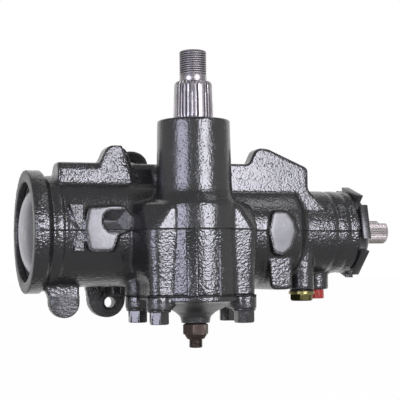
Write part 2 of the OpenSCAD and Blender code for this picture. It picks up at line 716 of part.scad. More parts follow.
// Sealing rings of the valve sleeve
module valve_body_rings() {
    color([0.7, 0.66, 0.55]) for (i = [0 : 3]) let (x = valve_ring_x + i * valve_ring_pitch)
        worm_ring(x + 0.05, x + valve_ring_w - 0.05, valve_bore_r - 0.05, flange_r - 2.55);
}

// Slotted spool on the input shaft
module spool_valve() {
    color([0.6, 0.6, 0.64]) difference() {
        worm_ring(valve_x + 3, valve_end - 3, spool_r, stub_r + fit);
        for (i = [0 : 7]) along_worm() rotate(i * 45) translate([spool_r - 1.4, -1.6, valve_x + 8])
            cube([4, 3.2, valve_len - 16]);
        worm_ring(valve_end - 6.2, valve_end - 4, spool_r - 1.5, stub_r - 1);
    }
}

// Seal ring between spool and input shaft
module spool_seal() {
    color([0.05, 0.05, 0.05]) worm_ring(valve_end - 6.1, valve_end - 4.1, spool_r - 1.6, stub_r + fit);
}

// Torsion bar joining the input shaft to the worm
module torsion_bar() {
    color([0.72, 0.7, 0.68]) along_worm() rotate_extrude() polygon([[0, valve_x - 21],
        [bar_end_r - fit, valve_x - 21], [bar_end_r - fit, valve_x - 5], [bar_r, valve_x - 3],
        [bar_r, input_end_x - 26], [bar_end_r - 0.1, input_end_x - 24],
        [bar_end_r - 0.1, input_end_x - 6], [0, input_end_x - 6]]);
}

// Serrated input shaft with the tongue that drives the worm
module stub_shaft() {
    color([0.72, 0.68, 0.66]) difference() {
        union() {
            worm_rod(valve_x + 1.2, adjuster_end - 9, stub_r);
            along_worm() translate([0, 0, adjuster_end - 9]) cylinder(r1 = stub_r, r2 = input_r, h = 3);
            worm_rod(adjuster_end - 6.01, input_end_x - 2, input_r);
            along_worm() translate([0, 0, input_end_x - 2]) cylinder(r1 = input_r, r2 = input_r - 2, h = 2);
            along_worm() translate([0, 0, valve_x - 3.6]) linear_extrude(6) intersection() {
                circle(r = tongue_r);
                square([2 * tongue_r + 2, tongue_w], center = true);
            }
        }
        worm_rod(valve_x - 5, input_end_x + 1, bar_end_r);
        along_worm() translate([0, 15, input_end_x - 12]) rotate([90, 0, 0]) cylinder(r = 1.9, h = 30);
        along_worm() translate([-input_r - 1, -5, input_end_x - 9]) cube([2.4, 10, 12]);
    }
}

// Pin that locks the torsion bar in the input shaft
module stub_pin() {
    color([0.45, 0.45, 0.46]) along_worm() for (s = [-1, 1])
        translate([0, s * (input_r + bar_end_r - 0.7) / 2, input_end_x - 12]) rotate([90, 0, 0])
        cylinder(r = 1.86, h = input_r - bar_end_r - 0.6, center = true);
}

// Race on the end of the valve sleeve
module upper_thrust_race() {
    color([0.7, 0.7, 0.72]) worm_ring(valve_end, valve_end + race_t, flange_r - 0.2, spool_r + 0.4);
}

// Thrust rollers behind the adjuster plug
module upper_thrust_rollers() {
    color([0.78, 0.78, 0.8]) round_worm(18) translate([spool_r + 1, 0, valve_end + race_t + roller_d / 2])
        rotate([0, 90, 0]) cylinder(r = roller_d / 2 - 0.03, h = flange_r - spool_r - 2, $fn = 16);
}

// Threaded plug that closes the valve end and loads the bearings
module adjuster_plug() {
    color([0.5, 0.5, 0.52]) difference() {
        along_worm() rotate_extrude($fn = 96) polygon([[stub_r + 4.6, adjuster_x],
            [valve_bore_r - fit, adjuster_x],
            [valve_bore_r - fit, nose_end - 4.6], [valve_bore_r - 2.4, nose_end - 4.6],
            [valve_bore_r - 2.4, nose_end - 2], [valve_bore_r - fit, nose_end - 2],
            [valve_bore_r - fit, nose_end], [plug_thread_r - fit, nose_end],
            [plug_thread_r - fit, adjuster_end - 1.2], [plug_thread_r - 1.2, adjuster_end],
            [input_r + 6.4, adjuster_end], [input_r + 6.4, adjuster_end - 8],
            [stub_r + 4.6, adjuster_end - 8]]);
        worm_rod(adjuster_end - 2.6, adjuster_end - 1.2, input_r + 7.6);
        for (s = [-1, 1]) along_worm() translate([0, s * (plug_thread_r - 6), adjuster_end - 6])
            cylinder(r = 2.6, h = 7);
    }
}

// Seal ring of the adjuster plug
module adjuster_seal() {
    color([0.05, 0.05, 0.05])
        worm_ring(nose_end - 4.5, nose_end - 2.1, valve_bore_r - fit, valve_bore_r - 2.35);
}

// Shell of the input shaft needle bearing
module stub_bearing() {
    color([0.7, 0.7, 0.72]) worm_ring(adjuster_x + 1, adjuster_x + 13, stub_r + 4.6 - fit, stub_r + 3.1);
}

// Needles of the input shaft bearing
module stub_rollers() {
    color([0.78, 0.78, 0.8]) round_worm(24) translate([stub_r + 1.57, 0, adjuster_x + 2])
        cylinder(r = 1.5, h = 10, $fn = 16);
}

// Lip seal of the input shaft
module stub_seal() {
    color([0.08, 0.08, 0.08]) worm_ring(adjuster_x + 14, adjuster_x + 20, stub_r + 4.6 - fit, stub_r + 0.06);
}

// Outer dust seal of the input shaft
module stub_dust_seal() {
    color([0.1, 0.1, 0.1])
        worm_ring(adjuster_end - 7.9, adjuster_end - 2.7, input_r + 6.4 - fit, input_r + 2.2);
}

// Retaining ring over the dust seal
module stub_seal_ring() {
    color([0.45, 0.45, 0.46]) difference() {
        worm_ring(adjuster_end - 2.6, adjuster_end - 1.2, input_r + 7.5, input_r + 4.8);
        along_worm() translate([0, -3, adjuster_end - 4]) cube([24, 6, 4]);
    }
}

// Six-sided locknut with a notch at each corner
module adjuster_locknut() {
    color([0.16, 0.17, 0.17]) along_worm() rotate(-12.3) difference() {
        translate([0, 0, locknut_x]) linear_extrude(locknut_t) circle(r = locknut_flats / sqrt(3), $fn = 6);
        translate([0, 0, locknut_x - 1]) cylinder(r = plug_thread_r + fit, h = locknut_t + 2, $fn = 96);
        for (i = [0 : 5]) rotate(i * 60) translate([plug_thread_r + 3.6, -5.6, locknut_x - 1])
            cube([20, 11.2, locknut_t + 2]);
    }
}

// Outline of one sector tooth pointing along Y
module sector_tooth() {
    rr = concat([core_r - 2], [for (i = [0 : 7]) base_r + (tip_r - base_r) * i / 7]);
    polygon(concat([for (r = rr) polar(r, 90 - tooth_half(max(r, base_r)))],
        [for (i = [8 : -1 : 0]) polar(rr[i], 90 + tooth_half(max(rr[i], base_r)))]));
}

// Serrated outline with four wide teeth
module spline_outline() {
    step = 360 / spline_teeth;
    polygon([for (i = [0 : spline_teeth - 1]) each [polar(spline_r, i * step - 0.2 * step),
        polar(spline_r, i * step + 0.2 * step),
        polar(i % (spline_teeth / 4) == 0 ? spline_r : spline_r - 1.5, i * step + 0.45 * step),
        polar(i % (spline_teeth / 4) == 0 ? spline_r : spline_r - 1.5, i * step + 0.55 * step)]]);
}

// Sector shaft with teeth, journals, serration and thread
module sector_shaft() {
    color([0.66, 0.65, 0.66]) difference() {
        union() {
            rotate_extrude($fn = 96) polygon([[0, journal_low], [journal_r - 1, journal_low],
                [journal_r, journal_low + 1],
                [journal_r, -half_face - 1], [core_r, -half_face], [core_r, half_face],
                [journal_r, half_face + 1], [journal_r, boss_top - 1.5], [spline_small_r - 2, spline_z],
                [spline_small_r - 2, thread_z + 0.5], [arm_thread_r, thread_z + 2],
                [arm_thread_r, shaft_top - 1.6],
                [arm_thread_r - 1.6, shaft_top], [0, shaft_top]]);
            translate([0, 0, -half_face]) linear_extrude(sector_face) for (a = [-45, 0, 45])
                rotate(a) sector_tooth();
            translate([0, 0, spline_z - 0.01]) linear_extrude(spline_len, scale = spline_small_r / spline_r)
                spline_outline();
        }
        translate([-lash_r - 0.4, -lash_r - 0.4, journal_low - 1]) cube([40, 2 * lash_r + 0.8, 6]);
        translate([0, 0, screw_head_z - 0.1]) cylinder(r = lash_r + 3.2, h = 4.4);
        translate([0, -lash_r - 3.2, screw_head_z - 0.1]) cube([40, 2 * lash_r + 6.4, 4.4]);
    }
}

// Shell of the sector shaft needle bearing
module sector_bearing() {
    color([0.7, 0.7, 0.72]) difference() {
        sector_ring(chamber_top + 1, bearing_top, bearing_ro - fit, journal_r + 0.6);
        rod_z(0, 0, chamber_top + 3, bearing_top - 2, journal_r + journal_play + 3.06);
    }
}

// Needles of the sector shaft bearing
module sector_rollers() {
    color([0.78, 0.78, 0.8]) for (i = [0 : 31]) rotate(i * 360 / 32)
        rod_z(journal_r + journal_play + 1.5, 0, chamber_top + 3.2, bearing_top - 2.2, 1.48, $fn = 16);
}

// Single lip seal next to the bearing
module sector_inner_seal() {
    color([0.08, 0.08, 0.08]) sector_ring(bearing_top, washer_z, seal_bore_r - fit, journal_r + 0.08);
}

// Steel washer between the seals
module seal_washer() {
    color([0.6, 0.6, 0.62])
        sector_ring(washer_z, washer_z + seal_washer_t, seal_bore_r - fit, journal_r + 0.5);
}

// Double lip seal at the top of the boss
module sector_outer_seal() {
    color([0.1, 0.1, 0.1])
        sector_ring(washer_z + seal_washer_t, ring_clip_z, seal_bore_r - fit, journal_r + 0.08);
}

// Open retaining ring over the seals
module sector_seal_ring() {
    color([0.45, 0.45, 0.46]) difference() {
        sector_ring(ring_clip_z, ring_clip_z + 2, seal_bore_r + 1.35, seal_bore_r - 2.2);
        translate([0, -4, ring_clip_z - 1]) cube([2 * seal_bore_r, 8, boss_top - ring_clip_z]);
    }
}

// Cover with sleeve, bolt flange and adjuster boss
module side_cover() {
    color([0.16, 0.17, 0.17]) difference() {
        union() {
            translate([0, 0, cover_low]) linear_extrude(cover_t) {
                case_outline();
                circle(r = case_r + 1.4);
                for (p = bolt_xy) translate(p) circle(r = 10.2);
            }
            rotate_extrude($fn = 96) polygon([[0, cover_top - 1], [0, screw_boss_low], [11.6, screw_boss_low],
                [12.4, screw_boss_low + 0.8], [14.5, disc_low + 1.4], [17, disc_low], [27, disc_low],
                [30, cover_low + 2], [30, cover_top - 1]]);
            sector_ring(cover_low, -half_face - 2, sleeve_r, bush_ro - 1);
        }
        rod_z(0, 0, bush_low, 1, bush_ro);
        worm_rod(-2 * chamber_r, 2 * chamber_r, bore_r + 0.6);
        rod_z(0, 0, screw_boss_low - 1, bush_low + 1, lash_r + 0.05);
        for (p = bolt_xy) rod_z(p[0], p[1], cover_low - 1, cover_top + 1, bolt_r + 0.35);
    }
}

// Bush for the lower journal
module side_cover_bush() {
    color([0.72, 0.58, 0.32])
        sector_ring(bush_low + 0.2, -half_face - 4, bush_ro - fit, journal_r + journal_play);
}

// Gasket between cover and case
module side_cover_gasket() {
    color([0.2, 0.2, 0.2]) translate([0, 0, cover_top]) linear_extrude(gasket_t) difference() {
        union() {
            case_outline();
            for (p = bolt_xy) translate(p) circle(r = 10.2);
        }
        circle(r = chamber_r);
        for (p = bolt_xy) translate(p) circle(r = bolt_r + 0.4);
    }
}

// Four washer-head bolts of the side cover
module side_cover_bolts() {
    color([0.15, 0.15, 0.16]) for (p = bolt_xy) translate([p[0], p[1], 0]) {
        rod_z(0, 0, cover_low - 0.01, -joint_depth + 15, bolt_r - 0.02);
        rod_z(0, 0, cover_low - 1.6, cover_low, washer_r);
        hex_z(cover_low - bolt_head_h, cover_low - 1.59, bolt_r * 3);
    }
}

// Screw that sets the play of the sector
module lash_screw() {
    color([0.32, 0.28, 0.26]) difference() {
        union() {
            rod_z(0, 0, screw_low, screw_head_z + 0.01, lash_r);
            rod_z(0, 0, screw_head_z, screw_head_z + 4.2, lash_r + 2.9);
        }
        hex_z(screw_low - 1, screw_low + 4.5, lash_r);
    }
}

// Locknut of the lash screw
module lash_locknut() {
    color([0.3, 0.26, 0.24]) difference() {
        union() {
            hex_z(screw_boss_low - locknut_h, screw_boss_low, lash_r * 3.4);
            translate([0, 0, screw_boss_low - locknut_h - 4])
                cylinder(r1 = lash_r + 1, r2 = lash_r * 1.66, h = 4.01);
        }
        rod_z(0, 0, screw_boss_low - locknut_h - 5, screw_boss_low + 1, lash_r + 0.04);
    }
}

// Zinc-plated shipping plug in the pressure port
module pressure_plug() {
    color([0.5, 0.46, 0.25]) translate([pressure_x, pressure_y, -port_face]) {
        rod_z(0, 0, -0.01, 14, port_r - fit);
        rod_z(0, 0, -3.4, -0.8, port_boss_r + 0.2);
        rod_z(0, 0, -0.81, 0, port_r - fit);
        hex_z(-9.2, -3.39, 18.2);
    }
}

// Sealing washer under the pressure port plug
module pressure_plug_seal() {
    color([0.08, 0.08, 0.08]) translate([pressure_x, pressure_y, -port_face])
        sector_ring(-0.8, 0, port_boss_r - 0.6, port_r);
}

// Plastic shipping cap in the return port
module return_plug() {
    color([0.75, 0.1, 0.08]) translate([return_x, return_y, -port_face]) difference() {
        union() {
            rod_z(0, 0, -0.01, 12, port_r - fit);
            rod_z(0, 0, -2.6, 0, port_r + 0.4);
            rod_z(0, 0, -7.2, -2.59, port_r + 1);
        }
        rod_z(0, 0, -8.2, 9, port_r - 2);
    }
}

// Move from the worm axis height to the origin on the arm serration
module from_seat() {
    translate([0, 0, -spline_z]) children();
}

from_seat() housing();
from_seat() end_plug();
from_seat() end_plug_seal();
from_seat() end_plug_ring();
from_seat() rack_piston();
from_seat() piston_ring();
from_seat() piston_ring_backup();
from_seat() rack_plug();
from_seat() recirculating_balls();
from_seat() return_guide();
from_seat() return_clamp();
from_seat() return_clamp_screws();
from_seat() worm();
from_seat() lower_thrust_race();
from_seat() lower_thrust_rollers();
from_seat() valve_body();
from_seat() valve_body_rings();
from_seat() spool_valve();
from_seat() spool_seal();
from_seat() torsion_bar();
from_seat() worm_pin();
from_seat() stub_shaft();
from_seat() stub_pin();
from_seat() upper_thrust_race();
from_seat() upper_thrust_rollers();
from_seat() adjuster_plug();
from_seat() adjuster_seal();
from_seat() stub_bearing();
from_seat() stub_rollers();
from_seat() stub_seal();
from_seat() stub_dust_seal();
from_seat() stub_seal_ring();
from_seat() adjuster_locknut();
from_seat() sector_shaft();
from_seat() sector_bearing();
from_seat() sector_rollers();
from_seat() sector_inner_seal();
from_seat() seal_washer();
from_seat() sector_outer_seal();
from_seat() sector_seal_ring();
from_seat() side_cover();
from_seat() side_cover_bush();
from_seat() side_cover_gasket();
from_seat() side_cover_bolts();
from_seat() lash_screw();
from_seat() lash_locknut();
from_seat() pressure_plug();
from_seat() pressure_plug_seal();
from_seat() return_plug();
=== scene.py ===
"""Dress the steering gearbox: cast and painted case, bare steel shafts, fasteners, plugs and a white studio."""

import json
import math
from contextlib import contextmanager

import bmesh
import bpy
import numpy as np
from bpy.props import FloatProperty, FloatVectorProperty, IntProperty, PointerProperty
from mathutils import Matrix, Vector


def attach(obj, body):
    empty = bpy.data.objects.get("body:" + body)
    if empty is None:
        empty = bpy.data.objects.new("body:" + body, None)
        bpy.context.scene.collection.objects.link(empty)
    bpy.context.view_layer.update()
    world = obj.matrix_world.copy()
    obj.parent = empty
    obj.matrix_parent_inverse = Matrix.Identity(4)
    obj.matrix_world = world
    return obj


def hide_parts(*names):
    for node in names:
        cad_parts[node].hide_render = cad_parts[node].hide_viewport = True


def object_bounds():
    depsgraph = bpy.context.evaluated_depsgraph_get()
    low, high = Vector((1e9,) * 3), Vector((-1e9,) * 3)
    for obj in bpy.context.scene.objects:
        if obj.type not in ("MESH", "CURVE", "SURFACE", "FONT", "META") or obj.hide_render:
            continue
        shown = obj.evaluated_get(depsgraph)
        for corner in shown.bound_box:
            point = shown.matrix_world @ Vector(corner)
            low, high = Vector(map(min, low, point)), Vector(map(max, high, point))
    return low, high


bl_info = {
    "name": "Steering Gearbox",
    "version": (1, 0, 0),
    "blender": (4, 5, 0),
    "location": "View3D > Sidebar > Gearbox",
    "description": "Dresses the steering gearbox frame with its castings, shafts, fasteners and studio",
    "category": "Object",
}

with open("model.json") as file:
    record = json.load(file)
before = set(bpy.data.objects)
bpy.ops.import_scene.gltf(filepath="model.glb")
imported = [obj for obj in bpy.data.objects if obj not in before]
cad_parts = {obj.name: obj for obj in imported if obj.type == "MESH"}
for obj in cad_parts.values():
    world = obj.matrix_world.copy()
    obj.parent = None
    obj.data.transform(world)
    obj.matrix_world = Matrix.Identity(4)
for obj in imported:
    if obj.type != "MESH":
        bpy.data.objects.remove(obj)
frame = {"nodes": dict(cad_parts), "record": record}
CAD_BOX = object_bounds()

MM = 0.001
TURN = 2 * math.pi
WORM_Y = 0.050  # worm axis in metres, from the sector axis
WORM_Z = -0.0904  # worm axis in metres, from the large end of the arm serration

# Shapes are worked out in millimetres, x and y from the sector axis and z from the worm axis, and made metres when
# they are placed. Bolts and ports are (x, y), frame holes and facets (x, z).
COVER_BOLTS = ((-36, -17), (36, -17), (40, 32), (-40, 32))
BOLT_TURNS = (22, 33, 15, 25)  # degrees that each bolt's hexagon is turned
PRESSURE_PORT = (106.5, 28)
RETURN_PORT = (130, 50)
PORT_FACE = -51.0
FRAME_HOLES = ((-29, 58.5), (80, 40), (-49, -60))
BULGE_R = 36.5  # rounded front of the case, about the sector axis
STRIPS = ((-29.6, -13.4, 1.5), (12.2, 17.2, 1.0))  # start and end in degrees, width of each edge
STRIP_LOW, STRIP_HIGH = -52.8, -0.4
PAD_X, PAD_Y = 80, 1.6  # middle and front of the flat pads on the barrel
FACETS = (
    ((-103, 21), (-99, 6.5), (-95.5, 1), (-92.5, 7), (-92, 21)),
    ((-97, -1), (-100, -17), (-91.5, -17), (-92.5, -4)),
)
RIM_R = 51.0  # rim round the end plug
BEAD_TOP, BEAD_FOOT = 0.15, 0.5  # half widths of the bead on the parting line
SCOOP_X, SCOOP_Z, SCOOP_R = -66.7, 7.2, 9.8  # recess in the left pad
SCOOP_REACH = 7  # length of its middle line
# Underside of the cover, as (radius, height).
COVER_SLOPE = ((11.6, -75.7), (12.4, -71.0), (14.5, -68.6), (19.0, -65.4), (28.0, -61.8), (36.5, -58.4), (42.0, -56.6))
COVER_TRIANGLES = 90000
PLUG_R = 41.5  # seat of the end plug

PHOTO_SIZE = 400  # pixels
PHOTO_CENTRE = (194.627, 230.029)  # pixel that the lens points at
LAMP_TARGET = (0, 0, -0.06)
SOFTBOXES = {
    "key": ((0.28, -0.98, 0.07), 0.56, 0.62, (0.90, 0.89, 1.0)),
    "fill": ((-0.84, -0.60, -0.01), 0.66, 0.62, (0.78, 0.78, 1.0)),
    "top": ((0.52, -0.50, 0.96), 0.40, 0.40, (0.95, 0.95, 1.0)),
}
FLOOR_SIZE = 8.0
FLOOR_DROP = 0.0005
FLOOR_GLOW = 0.985  # share of the floor that is plain white to the camera


class CastingSettings(bpy.types.PropertyGroup):
    """How the two castings are rounded."""

    voxel: FloatProperty(
        name="Casting voxel", description="Edge of the grid that rounds the case", default=1.1 * MM, unit="LENGTH"
    )
    cover_voxel: FloatProperty(
        name="Cover voxel", description="Edge of the grid that rounds the cover", default=0.9 * MM, unit="LENGTH"
    )
    rounding: IntProperty(name="Rounding passes", description="Smoothing passes over cast edges", default=11)
    triangles: IntProperty(name="Case triangles", description="Triangles kept on the case", default=166000)
    rib: FloatProperty(
        name="Rib height", description="Height of the cast strips on the front", default=1.2 * MM, unit="LENGTH"
    )
    bead: FloatProperty(
        name="Bead height", description="Height of the bead on the parting line", default=0.35 * MM, unit="LENGTH"
    )


class ShaftSettings(bpy.types.PropertyGroup):
    """Serrations and threads of the two shafts."""

    thread_pitch: FloatProperty(
        name="Arm thread pitch", description="Pitch of the arm nut thread", default=1.814 * MM, unit="LENGTH"
    )
    thread_depth: FloatProperty(
        name="Arm thread depth", description="Depth of the arm nut thread", default=1.0 * MM, unit="LENGTH"
    )
    arm_teeth: IntProperty(name="Arm teeth", description="Teeth of the arm serration", default=32)
    input_teeth: IntProperty(name="Input teeth", description="Teeth of the input serration", default=36)


class FinishSettings(bpy.types.PropertyGroup):
    """Colours of the finishes that show."""

    paint: FloatVectorProperty(
        name="Case paint", description="Gloss paint on the castings", subtype="COLOR", default=(0.012, 0.0125, 0.0135)
    )
    steel: FloatVectorProperty(
        name="Shaft steel", description="Ground steel of the shafts", subtype="COLOR", default=(0.56, 0.53, 0.54)
    )
    zinc: FloatVectorProperty(
        name="Zinc plate", description="Yellow zinc on the port plug", subtype="COLOR", default=(0.42, 0.38, 0.16)
    )
    cap: FloatVectorProperty(
        name="Cap plastic", description="Plastic of the port cap", subtype="COLOR", default=(0.56, 0.06, 0.05)
    )


class StudioSettings(bpy.types.PropertyGroup):
    """Camera and lamps."""

    azimuth: FloatProperty(
        name="Azimuth",
        description="Camera turn from square to the case",
        subtype="ANGLE",
        default=math.radians(-18.399),
    )
    elevation: FloatProperty(
        name="Elevation", description="Camera height angle", subtype="ANGLE", default=math.radians(-2.036)
    )
    roll: FloatProperty(name="Roll", description="Camera roll", subtype="ANGLE", default=math.radians(-0.612))
    distance: FloatProperty(
        name="Distance", description="Camera to the crossing of the axes", default=0.95535, unit="LENGTH"
    )
    lens: FloatProperty(name="Lens", description="Focal length in millimetres", default=105.09)
    key: FloatProperty(name="Key radiance", description="Brightness of the right softbox", default=6.2)
    fill: FloatProperty(name="Fill radiance", description="Brightness of the left softbox", default=3.7)
    top: FloatProperty(name="Top radiance", description="Brightness of the upper softbox", default=1.6)


SETTINGS = {
    "gearbox_casting": CastingSettings,
    "gearbox_shafts": ShaftSettings,
    "gearbox_finish": FinishSettings,
    "gearbox_studio": StudioSettings,
}


def smoothstep(edge0, edge1, x):
    """Cubic ease of x from 0 at edge0 to 1 at edge1."""
    t = np.clip((x - edge0) / (edge1 - edge0), 0, 1)
    return t * t * (3 - 2 * t)


def ring_quads(rows, columns, closed=False):
    """Quads of a grid whose columns wrap round, and whose rows wrap round too when closed."""
    i = np.arange(rows if closed else rows - 1)[:, None]
    j = np.arange(columns)[None, :]
    n, k = (i + 1) % rows, (j + 1) % columns
    return np.stack([i * columns + j, i * columns + k, n * columns + k, n * columns + j], -1).reshape(-1, 4)


def capped_quads(rows, columns):
    """Quads of a grid whose columns wrap round, with its first and last row closed."""
    ends = [list(range(columns))[::-1], [(rows - 1) * columns + k for k in range(columns)]]
    return ring_quads(rows, columns).tolist() + ends


def lathe(profile, columns=96, shape=None, closed=False):
    """Surface of revolution about Z: profile row (r, z) at turn t lies at (r cos t, r sin t, z).
    shape(r, t, z) gives the radius on the whole grid instead. A row of radius 0 at either end is a pole, and a
    closed profile joins its last row to its first."""
    rows = np.asarray(profile, float)
    low_pole, high_pole = rows[0, 0] == 0, rows[-1, 0] == 0
    body = rows[int(low_pole) : len(rows) - int(high_pole)]
    t = np.linspace(0, TURN, columns, endpoint=False)[None, :]
    r, z = body[:, :1], body[:, 1:2]
    radius = np.broadcast_to(r if shape is None else shape(r, t, z), (len(body), columns))
    points = np.stack([radius * np.cos(t), radius * np.sin(t), np.broadcast_to(z, radius.shape)], -1).reshape(-1, 3)
    faces = ring_quads(len(body), columns, closed).tolist()
    j = np.arange(columns)
    k = (j + 1) % columns
    if low_pole:
        faces += np.stack([k, j, np.full(columns, len(points))], -1).tolist()
        points = np.vstack([points, [[0, 0, rows[0, 1]]]])
    if high_pole:
        last = (len(body) - 1) * columns
        faces += np.stack([last + j, last + k, np.full(columns, len(points))], -1).tolist()
        points = np.vstack([points, [[0, 0, rows[-1, 1]]]])
    return points, faces


def stretches(*parts):
    """Profile rows from several stretches."""
    return np.vstack(parts)


def wall(radius, levels):
    """Profile rows of one radius at many levels."""
    return np.stack([np.full(len(levels), radius), levels], -1)


def hexagon(apothem, t):
    """Distance from the centre to a six-sided outline at turn t, with a corner at t = 0."""
    return apothem / np.cos(np.mod(t, math.pi / 3) - math.pi / 6)


def hex_shape(apothem, low, high):
    """Radius rule that cuts a turned profile to a hexagon between two heights."""

    def shape(r, t, z):
        return np.where((z >= low) & (z <= high), np.minimum(r, hexagon(apothem, t)), r)

    return shape


def thread_radius(r, t, z, pitch, depth, low, high):
    """Right-hand V thread: radius falls by depth where z / pitch - t / turn is midway between crests."""
    phase = np.mod(z / pitch - t / TURN, 1.0)
    valley = np.clip((1 - np.abs(2 * phase - 1) - 0.35) / 0.45, 0, 1)
    ends = smoothstep(low, low + pitch, z) * (1 - smoothstep(high - pitch, high, z))
    return r - depth * valley * ends


def along_worm(points):
    """Place a shape in millimetres with its Z along the worm axis."""
    x, y, z = points.T * MM
    return np.stack([z, y + WORM_Y, WORM_Z - x], -1)


def upright(points, x=0.0, y=0.0):
    """Place a shape in millimetres standing beside the sector axis, its heights counted from the worm axis."""
    return points * MM + np.array([x * MM, y * MM, WORM_Z])


def joined(parts):
    """Several (points, faces) shapes as one."""
    points, faces, start = [], [], 0
    for part_points, part_faces in parts:
        points.append(part_points)
        faces += [[start + v for v in face] for face in part_faces]
        start += len(part_points)
    return np.vstack(points), faces


def new_object(name, data):
    """Object in the scene for its data."""
    obj = bpy.data.objects.new(name, data)
    bpy.context.scene.collection.objects.link(obj)
    return obj


def smooth(mesh, sharp):
    """Shade a mesh smooth, with edges sharper than an angle in degrees kept."""
    mesh.shade_smooth()
    mesh.set_sharp_from_angle(angle=math.radians(sharp))


def new_piece(name, mesh, body, slot, *nodes):
    """Object for a mesh in its slot's finish, riding on a body and standing for CAD nodes."""
    obj = new_object(name, mesh)
    mesh.materials.clear()
    mesh.materials.append(finish(slot))
    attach(obj, body)
    if nodes:
        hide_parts(*nodes)


def shaped_piece(name, points, faces, sharp, body, slot, *nodes, **values):
    """Piece from arrays, shaded by its sharp angle, with numbers stored for its finish."""
    mesh = bpy.data.meshes.new(name)
    mesh.from_pydata(points.tolist(), [], faces)
    mesh.validate()
    smooth(mesh, sharp)
    store(mesh, **values)
    new_piece(name, mesh, body, slot, *nodes)


def store(mesh, **values):
    """Store numbers per vertex for the finishes to read, each an array or one number for all."""
    for name, value in values.items():
        numbers = np.broadcast_to(np.asarray(value, np.float32), len(mesh.vertices))
        mesh.attributes.new(name, "FLOAT", "POINT").data.foreach_set("value", np.ascontiguousarray(numbers))


@contextmanager
def editing(mesh):
    """BMesh of a mesh, written back to it at the end."""
    work = bmesh.new()
    work.from_mesh(mesh)
    yield work
    work.to_mesh(mesh)
    work.free()


def cut_plane(work, point, normal, **settings):
    """Cut everything in a BMesh by a plane."""
    everything = work.verts[:] + work.edges[:] + work.faces[:]
    return bmesh.ops.bisect_plane(work, geom=everything, plane_co=point, plane_no=normal, **settings)


def merged_copy(node):
    """Copy of a CAD node's mesh with its loose triangles joined."""
    mesh = frame["nodes"][node].data.copy()
    with editing(mesh) as work:
        bmesh.ops.remove_doubles(work, verts=work.verts, dist=2e-6)
    return mesh


def cut_copy(node, point, normal):
    """CAD node's mesh on the far side of a plane from its normal, closed where it is cut."""
    mesh = merged_copy(node)
    with editing(mesh) as work:
        cut = cut_plane(work, point, normal, clear_outer=True)
        edges = [e for e in cut["geom_cut"] if isinstance(e, bmesh.types.BMEdge)]
        bmesh.ops.triangle_fill(work, edges=edges, use_beauty=True)
    smooth(mesh, 30)
    return mesh


def applied(mesh, *modifiers, groups=None):
    """Mesh with modifiers applied. Each is (type, {property: value}); vertex groups are {name: weight array}."""
    holder = new_object("holder", mesh)
    for name, weights in (groups or {}).items():
        vertex_group = holder.vertex_groups.new(name=name)
        levels = np.round(weights * 10).astype(int)
        for level in range(1, 11):
            vertex_group.add(np.flatnonzero(levels == level).tolist(), level / 10, "REPLACE")
    for kind, values in modifiers:
        modifier = holder.modifiers.new(kind.lower(), kind)
        for key, value in values.items():
            setattr(modifier, key, value)
    bpy.context.view_layer.update()
    graph = bpy.context.evaluated_depsgraph_get()
    result = bpy.data.meshes.new_from_object(holder.evaluated_get(graph), depsgraph=graph)
    bpy.data.objects.remove(holder)
    return result


def bevelled_copy(node, width):
    """Copy of a prismatic CAD node with its flat faces joined and its edges broken by a small bevel."""
    mesh = merged_copy(node)
    with editing(mesh) as work:
        bmesh.ops.dissolve_limit(work, angle_limit=math.radians(0.5), verts=work.verts, edges=work.edges)
    bevel = {"width": width, "segments": 2, "limit_method": "ANGLE", "angle_limit": math.radians(30)}
    result = applied(mesh, ("BEVEL", bevel))
    smooth(result, 35)
    return result


def coordinates(mesh):
    """Vertex positions as an array."""
    co = np.empty(len(mesh.vertices) * 3, np.float32)
    mesh.vertices.foreach_get("co", co)
    return co.reshape(-1, 3).astype(float)


def move_to(mesh, co):
    """Set a mesh's vertex positions."""
    mesh.vertices.foreach_set("co", co.astype(np.float32).ravel())


def in_mm(co):
    """Positions in millimetres: x and y from the sector axis, z from the worm axis."""
    return co[:, 0] / MM, co[:, 1] / MM, (co[:, 2] - WORM_Z) / MM


def from_worm(y, z):
    """Distance in millimetres from the worm axis."""
    return np.hypot(y - WORM_Y / MM, z)


def zone(distance, radius, soft=0.6):
    """1 inside a radius, easing to 0 just outside it."""
    return 1 - smoothstep(radius, radius + soft, distance)


def cast_form(node, voxel, rounding, machined, triangles, relief):
    """Casting from a CAD solid: voxels of even size over the solid, cast skin relaxed towards its neighbours'
    mean, machined skin (weight 1 of machined) drawn back onto the solid, relief added, then thinned."""
    remeshed = applied(merged_copy(node), ("REMESH", {"mode": "VOXEL", "voxel_size": voxel, "adaptivity": 0.0}))
    hold = machined(coordinates(remeshed))
    target = {"target": frame["nodes"][node], "wrap_method": "NEAREST_SURFACEPOINT", "vertex_group": "machined"}
    skin = applied(
        remeshed,
        ("SMOOTH", {"factor": 0.5, "iterations": rounding, "vertex_group": "cast"}),
        ("SHRINKWRAP", target),
        groups={"cast": 1 - hold, "machined": (hold > 0.5).astype(float)},
    )
    co = coordinates(skin)
    move_to(skin, co + relief(co) * MM)
    skin.calc_loop_triangles()
    share = min(1.0, triangles / len(skin.loop_triangles))
    result = applied(skin, ("DECIMATE", {"ratio": share}))
    result.shade_smooth()
    return result


